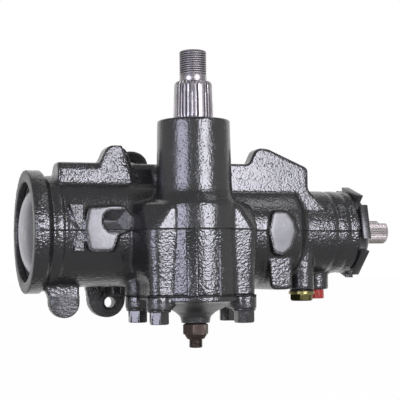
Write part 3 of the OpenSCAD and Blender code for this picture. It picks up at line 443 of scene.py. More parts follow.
def case_machined(co):
    """Weight 1 in the bores, seats and tapped holes of the case, partial on its turned ends."""
    x, y, z = in_mm(co)
    worm, sector = from_worm(y, z), np.hypot(x, y)
    bores = [
        zone(worm, 44.5) * (x < -114),  # end plug seat
        zone(worm, 38.6) * (x < 82),  # cylinder
        zone(worm, 29.1) * (x >= 82),  # valve bore
        zone(sector, 30.2) * (z < 28),  # cover side
        zone(sector, 25.3) * (z >= 27),  # bearing and seals
    ]
    bores += [zone(np.hypot(x - a, y - b), 4.8) * (z < -30) for a, b in COVER_BOLTS]
    bores += [zone(np.hypot(x - a, y - b), 7.1) * (z < -10) for a, b in (PRESSURE_PORT, RETURN_PORT)]
    bores += [zone(np.hypot(x - a, z - b), 4.9) * (y > 70) for a, b in FRAME_HOLES]
    faces = [
        smoothstep(130.6, 131.2, -x),  # plug end
        smoothstep(157.2, 157.7, x),  # valve end
        smoothstep(103.2, 103.7, y),  # frame bosses
        smoothstep(52.2, 52.7, -z),  # cover joint
        smoothstep(88.4, 89.0, z),  # sector boss
    ]
    turned = [
        0.4 * smoothstep(116, 118, x) * (worm > 30) * (z > -30),
        0.4 * (x < -103.5) * (worm > 40) * (worm < 52),
        0.6 * (sector < 33) * (z > 60),
    ]
    return np.maximum.reduce(bores + faces + turned)


def cover_machined(co):
    """Weight 1 on the cover's joint face, sleeve, bush bore and bolt holes."""
    x, y, z = in_mm(co)
    sector = np.hypot(x, y)
    hold = [(z > -54.2).astype(float), zone(sector, 5.7), zone(sector, 20) * (z > -64)]
    hold += [zone(np.hypot(x - a, y - b), 5.3) for a, b in COVER_BOLTS]
    return np.maximum.reduce(hold)


def case_pads(co):
    """True on the two flat pads on the front of the barrel."""
    x, y, _ = in_mm(co)
    return (y < PAD_Y + 0.5) & (np.abs(np.abs(x) - PAD_X) < 20)


def from_scoop(x, z):
    """Distance to the scoop's middle line, a short level stretch to the right of its round end."""
    return np.hypot(x - np.clip(x, SCOOP_X, SCOOP_X + SCOOP_REACH), z - SCOOP_Z)


def case_relief(co):
    """Offset of the case's skin in millimetres. The round recess becomes a scoop along Y: two slopes that fall from
    its rim to a level valley, and a third that closes its right side. The rail's front leans back beside the boss,
    in step with its height. The rim's skin moves along the radius onto its true circle."""
    x, y, z = in_mm(co)
    offset = np.zeros_like(co)
    inside = zone(from_scoop(x, z), SCOOP_R - 1.0, 0.8) * (y < 8)
    fall = 5.5 * (1 - np.abs(z - SCOOP_Z) / SCOOP_R)
    fall = np.maximum(np.minimum(fall, 0.75 * (SCOOP_X + 10.2 - x)), 0)
    offset[:, 1] = inside * (PAD_Y + 0.6 + fall - y)
    lean = smoothstep(-45, -42, x + 0.28 * (z - 37)) * np.clip((45 - y) / 20, 0, 1)
    lean *= smoothstep(33, 37, np.hypot(x, y)) * (x < -10) * (y > 20)
    offset[:, 1] += 0.33 * np.clip(z - 34, 0, 26) * lean
    worm = from_worm(y, z)
    rim = (x < -119.9) & (np.abs(worm - RIM_R) < 0.8)
    drawn = np.where(rim, (RIM_R - worm) / np.maximum(worm, 1), 0)
    offset[:, 1] += drawn * (y - WORM_Y / MM)
    offset[:, 2] += drawn * z
    return offset


def cover_relief(co):
    """Offset in millimetres that draws the underside of the cover up onto a bell slope between its bolt bosses: each
    point below the slope line z(r) moves along the line's normal by its distance from the line."""
    x, y, z = in_mm(co)
    radius = np.hypot(x, y)
    line_r, line_z = np.array(COVER_SLOPE).T
    slope = np.interp(radius, (line_r[1:] + line_r[:-1]) / 2, np.diff(line_z) / np.diff(line_r))
    below = np.maximum(np.interp(radius, line_r, line_z) - z, 0) * (radius > line_r[0]) / (1 + slope**2)
    for bolt_x, bolt_y in COVER_BOLTS:
        below = below * smoothstep(9.8, 12.6, np.hypot(x - bolt_x, y - bolt_y))
    outward = np.stack([x, y, np.zeros_like(x)], -1) / np.maximum(radius, 1)[:, None]
    offset = -outward * (below * slope)[:, None]
    offset[:, 2] += below
    return offset


def raise_parting(mesh, height):
    """Bead round the case in its parting plane: the skin is cut at six levels and moved out along its normals by a
    height that is whole between the inner two and falls to none at the next two, and none on pads and bores. The
    outer two keep the bead's shading to itself."""
    with editing(mesh) as work:
        for level in (-2 * BEAD_FOOT, -BEAD_FOOT, -BEAD_TOP, BEAD_TOP, BEAD_FOOT, 2 * BEAD_FOOT):
            cut_plane(work, (0, 0, WORM_Z + level * MM), (0, 0, 1), dist=1e-6)
    co = coordinates(mesh)
    normals = np.empty(co.size, np.float32)
    mesh.vertices.foreach_get("normal", normals)
    rise = height * (1 - smoothstep(BEAD_TOP, BEAD_FOOT, np.abs(in_mm(co)[2])))
    rise = np.where(case_pads(co) | (case_machined(co) > 0.9), 0, rise)
    move_to(mesh, co + normals.reshape(-1, 3) * rise[:, None])
    mesh.update()


def front_plate(outline, front, depth, chamfer):
    """Plate facing the front: an outline of (x, z) points carried back along Y, with a chamfer whose inner edge is
    the outline drawn towards its middle."""
    outline = np.array(outline, float)
    middle = outline.mean(0)
    reach = np.linalg.norm(outline - middle, axis=1, keepdims=True)
    inner = middle + (outline - middle) * (1 - 1.4 * chamfer / reach)
    rings = ((outline, front + depth), (outline, front + chamfer), (inner, front))
    points = np.vstack([np.column_stack([ring[:, 0], np.full(len(ring), y), ring[:, 1]]) for ring, y in rings])
    return points, capped_quads(len(rings), len(outline))


def front_strip(start, end, edge, height):
    """Upright strip on the rounded front: a flat top between two angles with sloping, rounded edges, as a closed
    profile (arc, height) about the sector axis, carried from one level to another."""
    arc = np.array([0.0, 0.55, 0.75, 1.0, 1.5]) * edge
    rise = np.array([-0.35, 0.55, 0.78, 0.93, 1.0]) * height
    start, end = math.radians(start), math.radians(end)
    angle = np.concatenate([start + arc / BULGE_R, end - arc[::-1] / BULGE_R, [end, start]])
    radius = BULGE_R + np.concatenate([rise, rise[::-1], [-2.0, -2.0]])
    levels = np.array([STRIP_LOW, STRIP_LOW + 0.01, STRIP_HIGH - 0.5, STRIP_HIGH])[:, None]
    inset = np.array([0.0, 0.0, 0.0, 0.5])[:, None] * (radius > BULGE_R)
    across = radius - inset
    points = np.stack([across * np.sin(angle), -across * np.cos(angle), np.broadcast_to(levels, inset.shape)], -1)
    return points.reshape(-1, 3), capped_quads(len(levels), len(angle))


def effect_group(name):
    """Shader node group of an effect: number inputs with their defaults, and an output for each of its results."""
    build, inputs = EFFECTS[name]
    tree = bpy.data.node_groups.new(name, "ShaderNodeTree")
    for key, value in inputs.items():
        tree.interface.new_socket(name=key, in_out="INPUT", socket_type="NodeSocketFloat").default_value = value
    results = build(tree, tree.nodes.new("NodeGroupInput").outputs)
    for key in results:
        tree.interface.new_socket(name=key, in_out="OUTPUT", socket_type="NodeSocketFloat")
    add(tree, "NodeGroupOutput", links=results)
    return tree


def add(tree, kind, values=None, links=None, **settings):
    """Node in a tree with its settings, socket values and links from other sockets."""
    node = tree.nodes.new(kind)
    for key, value in settings.items():
        setattr(node, key, value)
    for key, value in (values or {}).items():
        node.inputs[key].default_value = value
    for key, socket in (links or {}).items():
        tree.links.new(socket, node.inputs[key])
    return node


def feed(tree, socket, term):
    """Give a socket a number or a link."""
    if isinstance(term, (int, float)):
        socket.default_value = term
    else:
        tree.links.new(term, socket)


def math_node(tree, operation, *terms):
    """Math node whose terms are sockets or numbers; returns its value socket."""
    node = add(tree, "ShaderNodeMath", operation=operation)
    for socket, term in zip(node.inputs, terms):
        feed(tree, socket, term)
    return node.outputs[0]


def times(tree, first, second):
    """Product of two sockets or numbers."""
    return math_node(tree, "MULTIPLY", first, second)


def plus(tree, first, second):
    """Sum of two sockets or numbers."""
    return math_node(tree, "ADD", first, second)


def remap(tree, value, low, high, to_low=0.0, to_high=1.0):
    """Linear map of a value socket from one span to another, clamped."""
    span = {"From Min": low, "From Max": high, "To Min": to_low, "To Max": to_high}
    return add(tree, "ShaderNodeMapRange", span, {"Value": value}).outputs["Result"]


def blend_color(tree, factor, first, second):
    """Mix of two colours, each a socket or an RGB triple, by a socket."""
    node = add(tree, "ShaderNodeMix", links={0: factor}, data_type="RGBA")
    for index, term in ((6, first), (7, second)):
        if isinstance(term, tuple):
            node.inputs[index].default_value = (*term, 1)
        else:
            tree.links.new(term, node.inputs[index])
    return node.outputs[2]


def object_position(tree):
    """Object coordinates."""
    return add(tree, "ShaderNodeTexCoord").outputs["Object"]


def noise(tree, position, scale, detail=2.0, roughness=0.5):
    """Noise value at a scale in waves per metre."""
    values = {"Scale": scale, "Detail": detail, "Roughness": roughness}
    return add(tree, "ShaderNodeTexNoise", values, {"Vector": position}).outputs[0]


def cast_grain(tree, source):
    """Sand-cast skin under paint: level worm-like grain a few millimetres long, sand speckle and scattered pits."""
    position = object_position(tree)
    squeezed = add(tree, "ShaderNodeVectorMath", {1: (1.0, 1.0, 1.6)}, {0: position}, operation="MULTIPLY")
    worms = noise(tree, squeezed.outputs[0], 370, 1.0)
    sand = noise(tree, position, 640, 1.0)
    cells = add(tree, "ShaderNodeTexVoronoi", {"Scale": 520}, {"Vector": position}).outputs["Distance"]
    pits = remap(tree, cells, 0.05, 0.34, 1.0, 0.0)
    sparse = remap(tree, noise(tree, position, 160, 1.0), 0.40, 0.58)
    height = plus(tree, times(tree, worms, source["Coarse"]), times(tree, sand, times(tree, source["Fine"], 0.55)))
    holes = times(tree, times(tree, pits, sparse), source["Fine"])
    return {"Height": math_node(tree, "SUBTRACT", height, times(tree, holes, 0.42))}


def parting_flash(tree, source):
    """Flash on the bead along the joint of the mould halves: a ridge at the worm axis height that wanders a little."""
    position = object_position(tree)
    level = add(tree, "ShaderNodeSeparateXYZ", links={0: position}).outputs["Z"]
    wander = times(tree, math_node(tree, "SUBTRACT", noise(tree, position, 60, 2.0), 0.5), 0.5 * MM)
    offset = math_node(tree, "ABSOLUTE", plus(tree, math_node(tree, "SUBTRACT", level, WORM_Z), wander))
    ridge = remap(tree, offset, 0.0, 0.75 * MM, 1.0, 0.0)
    return {"Height": times(tree, ridge, source["Amount"])}


def turning_marks(tree, source):
    """Lathe and grinding marks: fine noise as height, and a shade that adds slow noise to it."""
    position = object_position(tree)
    fine = add(tree, "ShaderNodeTexNoise", {"Detail": 1.0}, {"Vector": position, "Scale": source["Lines"]}).outputs[0]
    slow = noise(tree, position, 140, 3.0, 0.6)
    return {"Height": fine, "Shade": plus(tree, times(tree, fine, 0.35), times(tree, slow, 0.65))}


def edge_wear(tree, source):
    """Mask of worn convex edges, from how pointed the mesh is, broken by noise."""
    edge = remap(tree, add(tree, "ShaderNodeNewGeometry").outputs["Pointiness"], 0.52, 0.60)
    broken = remap(tree, noise(tree, object_position(tree), 240, 3.0, 0.65), 0.42, 0.62)
    return {"Mask": times(tree, times(tree, edge, broken), source["Amount"])}


def grime(tree, source):
    """Mask of handling film and dust, from noise at two scales."""
    position = object_position(tree)
    broad = remap(tree, noise(tree, position, 38, 4.0, 0.6), 0.42, 0.66)
    spots = remap(tree, noise(tree, position, 420, 2.0, 0.5), 0.45, 0.7)
    both = plus(tree, times(tree, broad, 0.7), times(tree, spots, 0.3))
    return {"Mask": times(tree, both, source["Amount"])}


EFFECTS = {
    "Cast Grain": (cast_grain, {"Coarse": 1.0, "Fine": 1.0}),
    "Parting Line": (parting_flash, {"Amount": 1.0}),
    "Turning Marks": (turning_marks, {"Lines": 3000.0}),
    "Edge Wear": (edge_wear, {"Amount": 1.0}),
    "Grime": (grime, {"Amount": 1.0}),
}


def placed(tree, name, **values):
    """One of the shared effect groups in a material, with its own values."""
    group = bpy.data.node_groups.get(name) or effect_group(name)
    node = add(tree, "ShaderNodeGroup", node_tree=group)
    for key, value in values.items():
        feed(tree, node.inputs[key], value)
    return node.outputs


def blank_tree(owner):
    """Empty node tree of a material or a world."""
    owner.use_nodes = True
    owner.node_tree.nodes.clear()
    return owner.node_tree


def new_material(name):
    """Empty material with its Principled shader and output."""
    material = bpy.data.materials.new(f"{name}_finish")
    tree = blank_tree(material)
    shader = tree.nodes.new("ShaderNodeBsdfPrincipled")
    add(tree, "ShaderNodeOutputMaterial", links={"Surface": shader.outputs[0]})
    return material, tree, shader


def bump(tree, shader, height, distance):
    """Bump of a height socket into the shader's normal."""
    node = add(tree, "ShaderNodeBump", {"Strength": 1.0, "Distance": distance}, {"Height": height})
    tree.links.new(node.outputs[0], shader.inputs["Normal"])


def stored(tree, name):
    """Number stored per vertex, 0 where a mesh has none of that name."""
    return add(tree, "ShaderNodeAttribute", attribute_name=name).outputs["Fac"]


def paint_material(color):
    """Gloss black enamel over sand-cast iron: grain and flash in the normal, a dull film in patches."""
    material, tree, shader = new_material("case_paint")
    grain = placed(tree, "Cast Grain", Coarse=stored(tree, "grain"), Fine=stored(tree, "sand"))["Height"]
    flash = placed(tree, "Parting Line", Amount=stored(tree, "parting"))["Height"]
    film = placed(tree, "Grime", Amount=1.0)["Mask"]
    tint = blend_color(tree, film, color, tuple(0.7 * c + 0.008 for c in color))
    tree.links.new(tint, shader.inputs["Base Color"])
    rough = plus(tree, remap(tree, film, 0.0, 1.0, 0.15, 0.25), times(tree, stored(tree, "dull"), 0.3))
    tree.links.new(rough, shader.inputs["Roughness"])
    shader.inputs["IOR"].default_value = 2.15
    bump(tree, shader, plus(tree, grain, times(tree, flash, 0.7)), 0.42 * MM)
    return material


def metal_material(name, color, roughness, lines=2500.0, depth=0.012, dirt=0.5, worn=None):
    """Turned or ground metal: fine marks in the normal, uneven polish, darker film in patches, and painted shade in
    gaps, thread roots and other places a piece marks per vertex.
    """
    material, tree, shader = new_material(name)
    marks = placed(tree, "Turning Marks", Lines=lines)
    film = placed(tree, "Grime", Amount=dirt)["Mask"]
    tint = blend_color(tree, film, color, tuple(0.45 * c for c in color))
    if worn:
        tint = blend_color(tree, placed(tree, "Edge Wear", Amount=1.0)["Mask"], tint, worn)
    # Painted shade: the colour falls to 0.12 of itself by the per-vertex number a piece stores (tooth gaps, thread
    # roots, the plug's hex).
    tint = blend_color(tree, stored(tree, "soil"), tint, tuple(0.12 * c for c in color))
    tree.links.new(tint, shader.inputs["Base Color"])
    shader.inputs["Metallic"].default_value = 1.0
    polish = remap(tree, marks["Shade"], 0.3, 0.7, roughness * 0.75, roughness * 1.3)
    tree.links.new(plus(tree, polish, times(tree, stored(tree, "dull"), 0.25)), shader.inputs["Roughness"])
    bump(tree, shader, marks["Height"], depth * MM)
    return material


def moulded_material(name, color, roughness, grain=900.0, depth=0.03):
    """Moulded rubber or plastic: fine skin texture and a faint bloom."""
    material, tree, shader = new_material(name)
    film = placed(tree, "Grime", Amount=0.8)["Mask"]
    pale = tuple(min(1.0, 0.85 * c + 0.02) for c in color)
    tree.links.new(blend_color(tree, film, color, pale), shader.inputs["Base Color"])
    tree.links.new(remap(tree, film, 0.0, 1.0, roughness * 0.85, roughness * 1.2), shader.inputs["Roughness"])
    bump(tree, shader, noise(tree, object_position(tree), grain, 2.0), depth * MM)
    return material


def finish_materials():
    """The finish for every material slot of the record."""
    colors = bpy.context.scene.gearbox_finish
    metals = {
        "plug_steel": ((0.38, 0.38, 0.42), 0.31, 1400, 0.02),
        "spring_steel": ((0.34, 0.33, 0.33), 0.34, 2000, 0.015),
        "gear_steel": ((0.50, 0.49, 0.48), 0.28),
        "bearing_steel": ((0.68, 0.68, 0.70), 0.16, 4000, 0.005, 0.2),
        "shaft_steel": (tuple(colors.steel), 0.30, 2200, 0.02, 0.4, (0.8, 0.79, 0.78)),
        "input_steel": ((0.86, 0.79, 0.77), 0.36, 2200, 0.008, 0.25, (0.9, 0.86, 0.84)),
        "oiled_steel": ((0.15, 0.115, 0.10), 0.55, 1500, 0.02, 0.7, (0.30, 0.25, 0.22)),
        "guide_steel": ((0.60, 0.57, 0.46), 0.34),
        "bush_bronze": ((0.62, 0.42, 0.18), 0.32),
        "zinc_plate": (tuple(colors.zinc), 0.30, 1800, 0.015, 1.0, (0.72, 0.60, 0.26)),
    }
    moulded = {
        "seal_rubber": ((0.015, 0.015, 0.016), 0.55),
        "ring_polymer": ((0.62, 0.56, 0.42), 0.45),
        "cap_plastic": (tuple(colors.cap), 0.35, 700, 0.02),
    }
    finishes = {"case_paint": paint_material(tuple(colors.paint))}
    finishes.update({slot: metal_material(slot, *values) for slot, values in metals.items()})
    finishes.update({slot: moulded_material(slot, *values) for slot, values in moulded.items()})
    return finishes


FINISHES = {}


def finish(slot):
    """The finish of a slot, made on first use."""
    if not FINISHES:
        FINISHES.update(finish_materials())
    return FINISHES[slot]


class GEARBOX_OT_inner_finish(bpy.types.Operator):
    """Finish of every CAD node that stays in view or inside, by its slot in the record"""

    bl_idname = "gearbox.inner_finish"
    bl_label = "Inner parts"

    def execute(self, context):
        for entry in frame["record"]["subparts"]:
            mesh = frame["nodes"][entry["node"]].data
            mesh.materials.clear()
            mesh.materials.append(finish(entry["material_slot"]))
        return {"FINISHED"}


class GEARBOX_OT_case(bpy.types.Operator):
    """Cast case: rounded voxels of the CAD case with its bores drawn back, the bead of its parting line, and the
    strips and facets on its front"""

    bl_idname = "gearbox.case"
    bl_label = "Cast case"

    def execute(self, context):
        casting = context.scene.gearbox_casting
        mesh = cast_form("housing", casting.voxel, casting.rounding, case_machined, casting.triangles, case_relief)
        raise_parting(mesh, casting.bead)
        co = coordinates(mesh)
        x, y, z = in_mm(co)
        pads = case_pads(co)
        scoop = zone(from_scoop(x, z), SCOOP_R + 1.0) * (y < 9) * ~pads
        ends = np.maximum(smoothstep(112, 116, x), smoothstep(101, 103, -x))
        below = 1 - smoothstep(-0.5, 0.5, z)
        boss = zone(np.hypot(x, y), 33, 4) * smoothstep(22, 30, z)
        rail = smoothstep(40, 44, -x) * smoothstep(32, 36, z)
        ear = zone(np.hypot(x + 42, y - 32), 13) * below
        grain = np.maximum.reduce([0.35 + 0.8 * below - 0.1 * boss + 0.15 * rail, 0.95 * ends, scoop])
        machined = case_machined(co) > 0.9
        store(
            mesh,
            grain=np.where(pads, 0.05, grain),
            sand=np.where(pads, 0.1, 1.0 + 0.7 * rail),
            dull=np.maximum.reduce([scoop, 0.7 * machined, 0.4 * pads, 0.8 * ear]),
            parting=np.where(pads | machined, 0.0, 1.0),
        )
        new_piece("case_casting", mesh, "case", "case_paint", "housing")

        points, faces = joined([front_strip(*strip, casting.rib / MM) for strip in STRIPS])
        shaped_piece("front_strips", upright(points), faces, 50, "case", "case_paint", grain=1.4, sand=1.2)

        points, faces = joined([front_plate(outline, PAD_Y + 1.2, 8.0, 0.5) for outline in FACETS])
        skin = {"grain": 0.6 + 0.4 * (points[:, 2] < 0), "sand": 1.7, "dull": 0.35}
        shaped_piece("barrel_facets", upright(points), faces, 30, "case", "case_paint", **skin)
        return {"FINISHED"}


class GEARBOX_OT_cover(bpy.types.Operator):
    """Cast side cover: rounded voxels of the CAD cover with its joint face and bores drawn back and a bell-shaped
    underside"""

    bl_idname = "gearbox.cover"
    bl_label = "Side cover"

    def execute(self, context):
        casting = context.scene.gearbox_casting
        voxel, rounding = casting.cover_voxel, casting.rounding
        mesh = cast_form("side_cover", voxel, rounding, cover_machined, COVER_TRIANGLES, cover_relief)
        underside = 1 - smoothstep(-60, -58, in_mm(coordinates(mesh))[2])
        store(mesh, grain=0.7, sand=1.0, dull=0.6 * underside)
        new_piece("cover_casting", mesh, "case", "case_paint", "side_cover")
        return {"FINISHED"}


class GEARBOX_OT_sector_shaft(bpy.types.Operator):
    """Sector shaft: CAD gear end, with the tapered arm serration and the arm nut thread as turned surfaces"""

    bl_idname = "gearbox.sector_shaft"
    bl_label = "Sector shaft"

    def execute(self, context):
        shafts = context.scene.gearbox_shafts
        teeth, pitch, depth = shafts.arm_teeth, shafts.thread_pitch / MM, shafts.thread_depth / MM
        seat, foot, top, tooth_depth = 86.0, 90.4, 121.0, 1.5
        neck, thread_end, thread_r = 126.4, 146.6, 11.1
        gear = cut_copy("sector_shaft", (0, 0, WORM_Z + seat * MM), (0, 0, 1))
        new_piece("sector_gear_end", gear, "sector", "shaft_steel", "sector_shaft")

        def taper(z):
            """Radius over the teeth, smaller towards the thread."""
            return 16.6 - 0.036 * (z - foot)

        def serrated(r, t, z):
            """Tooth wave: full radius on each tooth, lower between, with one gap in each quarter left full."""
            along = t / TURN * teeth
            offset = np.abs(along + 0.5 - np.floor(along + 0.5) - 0.5)
            full = np.floor(along) % (teeth // 4) == 0
            valley = np.where(full, 0.0, tooth_depth) * smoothstep(0.2, 0.45, offset)
            return r - valley * smoothstep(foot - 0.2, foot + 1.2, z) * (1 - smoothstep(top - 1.4, top + 0.2, z))

        def threaded(r, t, z):
            return np.where(r > 10.5, thread_radius(r, t, z, pitch, depth, neck, thread_end), r)

        z = np.linspace(foot, top, 18)
        r = taper(z)
        serration = stretches(
            [[0, seat - 1.0], [17.4, seat - 1.0], [17.4, 88.6], [17.1, 89.1], [16.2, 89.4], [15.8, 90.2]],
            np.stack([np.where(z < 91, r - 0.5, np.where(z > 120, r - 0.9, r)), z], -1),
            [[12.2, 121.6], [11.4, 122.0], [0, 122.0]],
        )
        thread = stretches(
            [[0, 121.8], [10.9, 121.8], [11.25, 122.6], [11.25, neck - 0.6]],
            wall(thread_r, np.arange(neck, 146.2, pitch / 14)),
            [[11.0, 146.2], [10.2, 146.9], [9.3, 147.2], [3.2, 147.2], [2.4, 146.0], [0, 145.2]],
        )
        points, faces = joined([lathe(serration, teeth * 12, serrated), lathe(thread, 96, threaded)])
        radius, height = np.hypot(points[:, 0], points[:, 1]), points[:, 2]
        on_teeth = (height > foot - 0.1) & (height < top + 0.2) & (radius > 12)
        on_thread = (height > neck) & (height < thread_end) & (radius > 9.8)
        # Painted shade: tooth gaps and thread roots get a darkening number by their depth, which darkens the steel's
        # colour.
        gaps = np.where(on_teeth, 0.6 * (taper(height) - radius) / tooth_depth, 0)
        roots = np.where(on_thread, 0.8 * (thread_r - radius) / depth, 0)
        soil = np.clip(gaps + roots, 0, 1)
        shaped_piece("arm_end", upright(points), faces, 32, "sector", "shaft_steel", soil=soil, dull=on_thread)
        return {"FINISHED"}


class GEARBOX_OT_input_shaft(bpy.types.Operator):
    """Input shaft: CAD valve end, with the serrated coupling end as a turned surface with a bore"""

    bl_idname = "gearbox.input_shaft"
    bl_label = "Input shaft"

    def execute(self, context):
        teeth = context.scene.gearbox_shafts.input_teeth
        cut, end, radius, bore = 166.0, 198.6, 10.3, 4.5
        tooth_depth, flat_height, flat_start = 0.45, 7.9, 190.5
        inner = cut_copy("stub_shaft", (cut * MM, 0, 0), (1, 0, 0))
        new_piece("input_valve_end", inner, "input", "input_steel", "stub_shaft")

        def serrated(r, t, z):
            """Vee serration on the outer rows and a clamp flat near the end."""
            wave = np.abs(2 * np.mod(t / TURN * teeth, 1.0) - 1)
            vee = r - tooth_depth * wave * smoothstep(169, 171, z) * (r > 8.2)
            flat = flat_height / np.maximum(np.abs(np.cos(t)), 0.2)
            on_flat = (np.cos(t) < 0) & (z > flat_start) & (r > 7.8)
            return np.where(on_flat, np.minimum(vee, flat), vee)

        profile = stretches(
            [[bore, cut - 1], [radius, cut - 1]],
            wall(radius, np.linspace(cut, end - 1.8, 64)),
            [[9.6, end - 0.7], [8.6, end], [5.6, end], [4.6, end - 1.0], [bore, end - 1.2]],
        )
        points, faces = lathe(profile, teeth * 8, serrated, closed=True)
        shaped_piece("input_end", along_worm(points), faces, 32, "input", "input_steel")
        return {"FINISHED"}


def washer_head_bolt(low, joint, top):
    """Washer-head bolt hanging head down: hex head with a chamfer and a dished end, washer, and threaded shank."""
    flats, corner, washer, shank = 7.14, 8.3, 9.4, 4.74
    thread_start, pitch, depth = joint + 12.0, 1.5, 0.7
    rows = stretches(
        [[0, low + 0.9], [3.6, low + 0.9], [4.6, low + 0.5], [5.2, low], [6.9, low], [7.6, low + 0.35]],
        [[corner, low + 0.9], [corner, joint - 2.5], [corner, joint - 1.75], [9.0, joint - 1.7]],
        [[washer - 0.15, joint - 1.5], [washer, joint - 1.2], [washer, joint - 0.1], [shank, joint]],
        wall(shank, np.arange(thread_start, top - 0.6, 0.16)),
        [[shank - 0.9, top], [0, top]],
    )
    head = hex_shape(flats, low - 0.1, joint - 1.74)

    def shape(r, t, z):
        thread = thread_radius(r, t, z, pitch, depth, thread_start, top - 0.4)
        return np.where(z > thread_start - 0.1, thread, head(r, t, z))

    return lathe(rows, 72, shape)


class GEARBOX_OT_fasteners(bpy.types.Operator):
    """Cover bolts, lash screw and lash locknut as turned hexagons with chamfers and threads"""

    bl_idname = "gearbox.fasteners"
    bl_label = "Fasteners"

    def execute(self, context):
        points, faces = washer_head_bolt(-75.8, -64.4, -38.0)
        bolts = []
        for (x, y), turn in zip(COVER_BOLTS, BOLT_TURNS):
            c, s = math.cos(math.radians(turn)), math.sin(math.radians(turn))
            bolts.append((upright(points @ np.array([[c, s, 0], [-s, c, 0], [0, 0, 1]]), x, y), faces))
        shaped_piece("cover_bolts", *joined(bolts), 32, "case", "case_paint", "side_cover_bolts", grain=0.1, sand=0.4)

        rows = [[5.54, -88.9], [6.6, -88.9], [7.2, -88.4], [8.6, -86.2], [9.1, -84.95], [10.2, -84.9]]
        rows += [[10.8, -83.8], [10.8, -77.2], [10.4, -76.9], [8.2, -75.9], [5.54, -75.9]]
        points, faces = lathe(rows, 96, hex_shape(9.35, -85.0, -75.8), closed=True)
        shaped_piece("lash_nut", upright(points), faces, 30, "case", "oiled_steel", "lash_locknut")

        head, screw, socket = -59.4, 5.5, 2.75
        rows = stretches(
            [[0, -91.4], [2.4, -91.4], [2.6, -91.4], [socket, -95.5], [3.4, -95.9], [4.5, -95.9], [screw, -95.0]],
            wall(screw, np.arange(-94.9, head, 0.2)),
            [[screw, head], [8.2, head], [8.4, head + 0.3], [8.4, head + 3.9], [8.0, head + 4.2], [0, head + 4.2]],
        )

        def tail(r, t, z):
            """Hex socket inside, thread outside."""
            inner = np.where(r < 3.0, np.minimum(hexagon(socket, t), r * 1.16), r)
            thread = thread_radius(inner, t, z, 1.25, 0.6, -95.2, -60.5)
            return np.where((r > 5.4) & (z < head), thread, inner)

        points, faces = lathe(rows, 72, tail)
        shaped_piece("lash_adjuster", upright(points), faces, 32, "case", "oiled_steel", "lash_screw")
        return {"FINISHED"}


class GEARBOX_OT_end_plug(bpy.types.Operator):
    """Domed end plug, its height falling with the cube of the radius, and its open retaining ring"""

    bl_idname = "gearbox.end_plug"
    bl_label = "End plug"

    def execute(self, context):
        face, dome_height, side = -123.2, 10.8, PLUG_R - 0.03
        across = np.linspace(0, 1, 40)
        dome = np.stack([(PLUG_R - 2.6) * across, face - dome_height * (1 - across**3)], -1)
        body = [[PLUG_R - 2.2, face], [PLUG_R - 0.4, face], [side, -122.8], [side, -119.8]]
        body += [[PLUG_R - 2.4, -119.8], [PLUG_R - 2.4, -116.8], [side, -116.8], [side, -114.9]]
        body += [[PLUG_R - 0.4, -114.6], [PLUG_R - 6, -114.6], [PLUG_R - 9, -118.6], [0, -118.6]]
        points, faces = lathe(stretches(dome, body), 160)
        shaped_piece("plug_dome", along_worm(points), faces, 40, "case", "plug_steel", "end_plug")

        low, high, inner, outer, edge = -125.6, face, PLUG_R - 2, PLUG_R + 1.9, 0.35
        section = [[inner + edge, low], [outer - edge, low], [outer, low + edge], [outer, high - edge]]
        section += [[outer - edge, high], [inner + edge, high], [inner, high - edge], [inner, low + edge]]
        r, z = np.array(section).T[:, None, :]
        half_gap = math.asin(4.0 / PLUG_R)
        steps, corners = 150, len(section)
        t = np.linspace(half_gap, TURN - half_gap, steps)[:, None]
        points = np.stack([r * np.cos(t), r * np.sin(t), np.broadcast_to(z, (steps, corners))], -1)
        faces = [face[::-1] for face in capped_quads(steps, corners)]
        shaped_piece("plug_ring", along_worm(points.reshape(-1, 3)), faces, 30, "case", "spring_steel", "end_plug_ring")
        return {"FINISHED"}


class GEARBOX_OT_valve_end(bpy.types.Operator):
    """Adjuster locknut with broken edges"""

    bl_idname = "gearbox.valve_end"
    bl_label = "Valve end"

    def execute(self, context):
        mesh = bevelled_copy("adjuster_locknut", 0.7 * MM)
        store(mesh, grain=0.2, sand=0.5, dull=0.6)
        new_piece("valve_locknut", mesh, "case", "case_paint", "adjuster_locknut")
        return {"FINISHED"}


class GEARBOX_OT_port_plugs(bpy.types.Operator):
    """Zinc-plated port plug and ribbed plastic port cap"""

    bl_idname = "gearbox.port_plugs"
    bl_label = "Port plugs"

    def execute(self, context):
        thread_r = 6.97
        rows = [[0, -8.4], [4.6, -8.4], [5.2, -9.2], [8.6, -9.2], [9.6, -8.5], [10.6, -7.8], [10.6, -3.9]]
        rows += [[10.6, -3.45], [11.0, -3.4], [11.2, -3.1], [11.2, -1.1], [11.0, -0.8]]
        rows += [[thread_r, -0.8], [thread_r, 12.6], [6.2, 14], [0, 14]]
        points, faces = lathe(np.array(rows) + [0, PORT_FACE], 96, hex_shape(9.1, PORT_FACE - 9.3, PORT_FACE - 3.42))
        # Painted shade: the hex below the flange gets a number that darkens its zinc colour almost to black, while the
        # flange stays bright.
        place, soil = upright(points, *PRESSURE_PORT), 0.93 * (points[:, 2] < PORT_FACE - 3.5)
        shaped_piece("pressure_port_plug", place, faces, 30, "case", "zinc_plate", "pressure_plug", soil=soil)

        rows = [[0, 9], [4.6, 9], [4.6, -7.4], [5.0, -8.0], [6.3, -8.0], [6.7, -7.6], [6.8, -3.0], [6.9, -2.4]]
        rows += [[6.9, -0.3], [6.9, 0], [thread_r, 0], [thread_r, 11.2], [6.4, 12], [0, 12]]

        def ribbed(r, t, z):
            """Twelve grip ribs on the outer wall of the cap."""
            return r + np.where((r > 6.6) & (z < PORT_FACE - 2.9), 0.25 * np.cos(12 * t), 0)

        points, faces = lathe(np.array(rows) + [0, PORT_FACE], 120, ribbed)
        shaped_piece("return_port_cap", upright(points, *RETURN_PORT), faces, 30, "case", "cap_plastic", "return_plug")
        return {"FINISHED"}


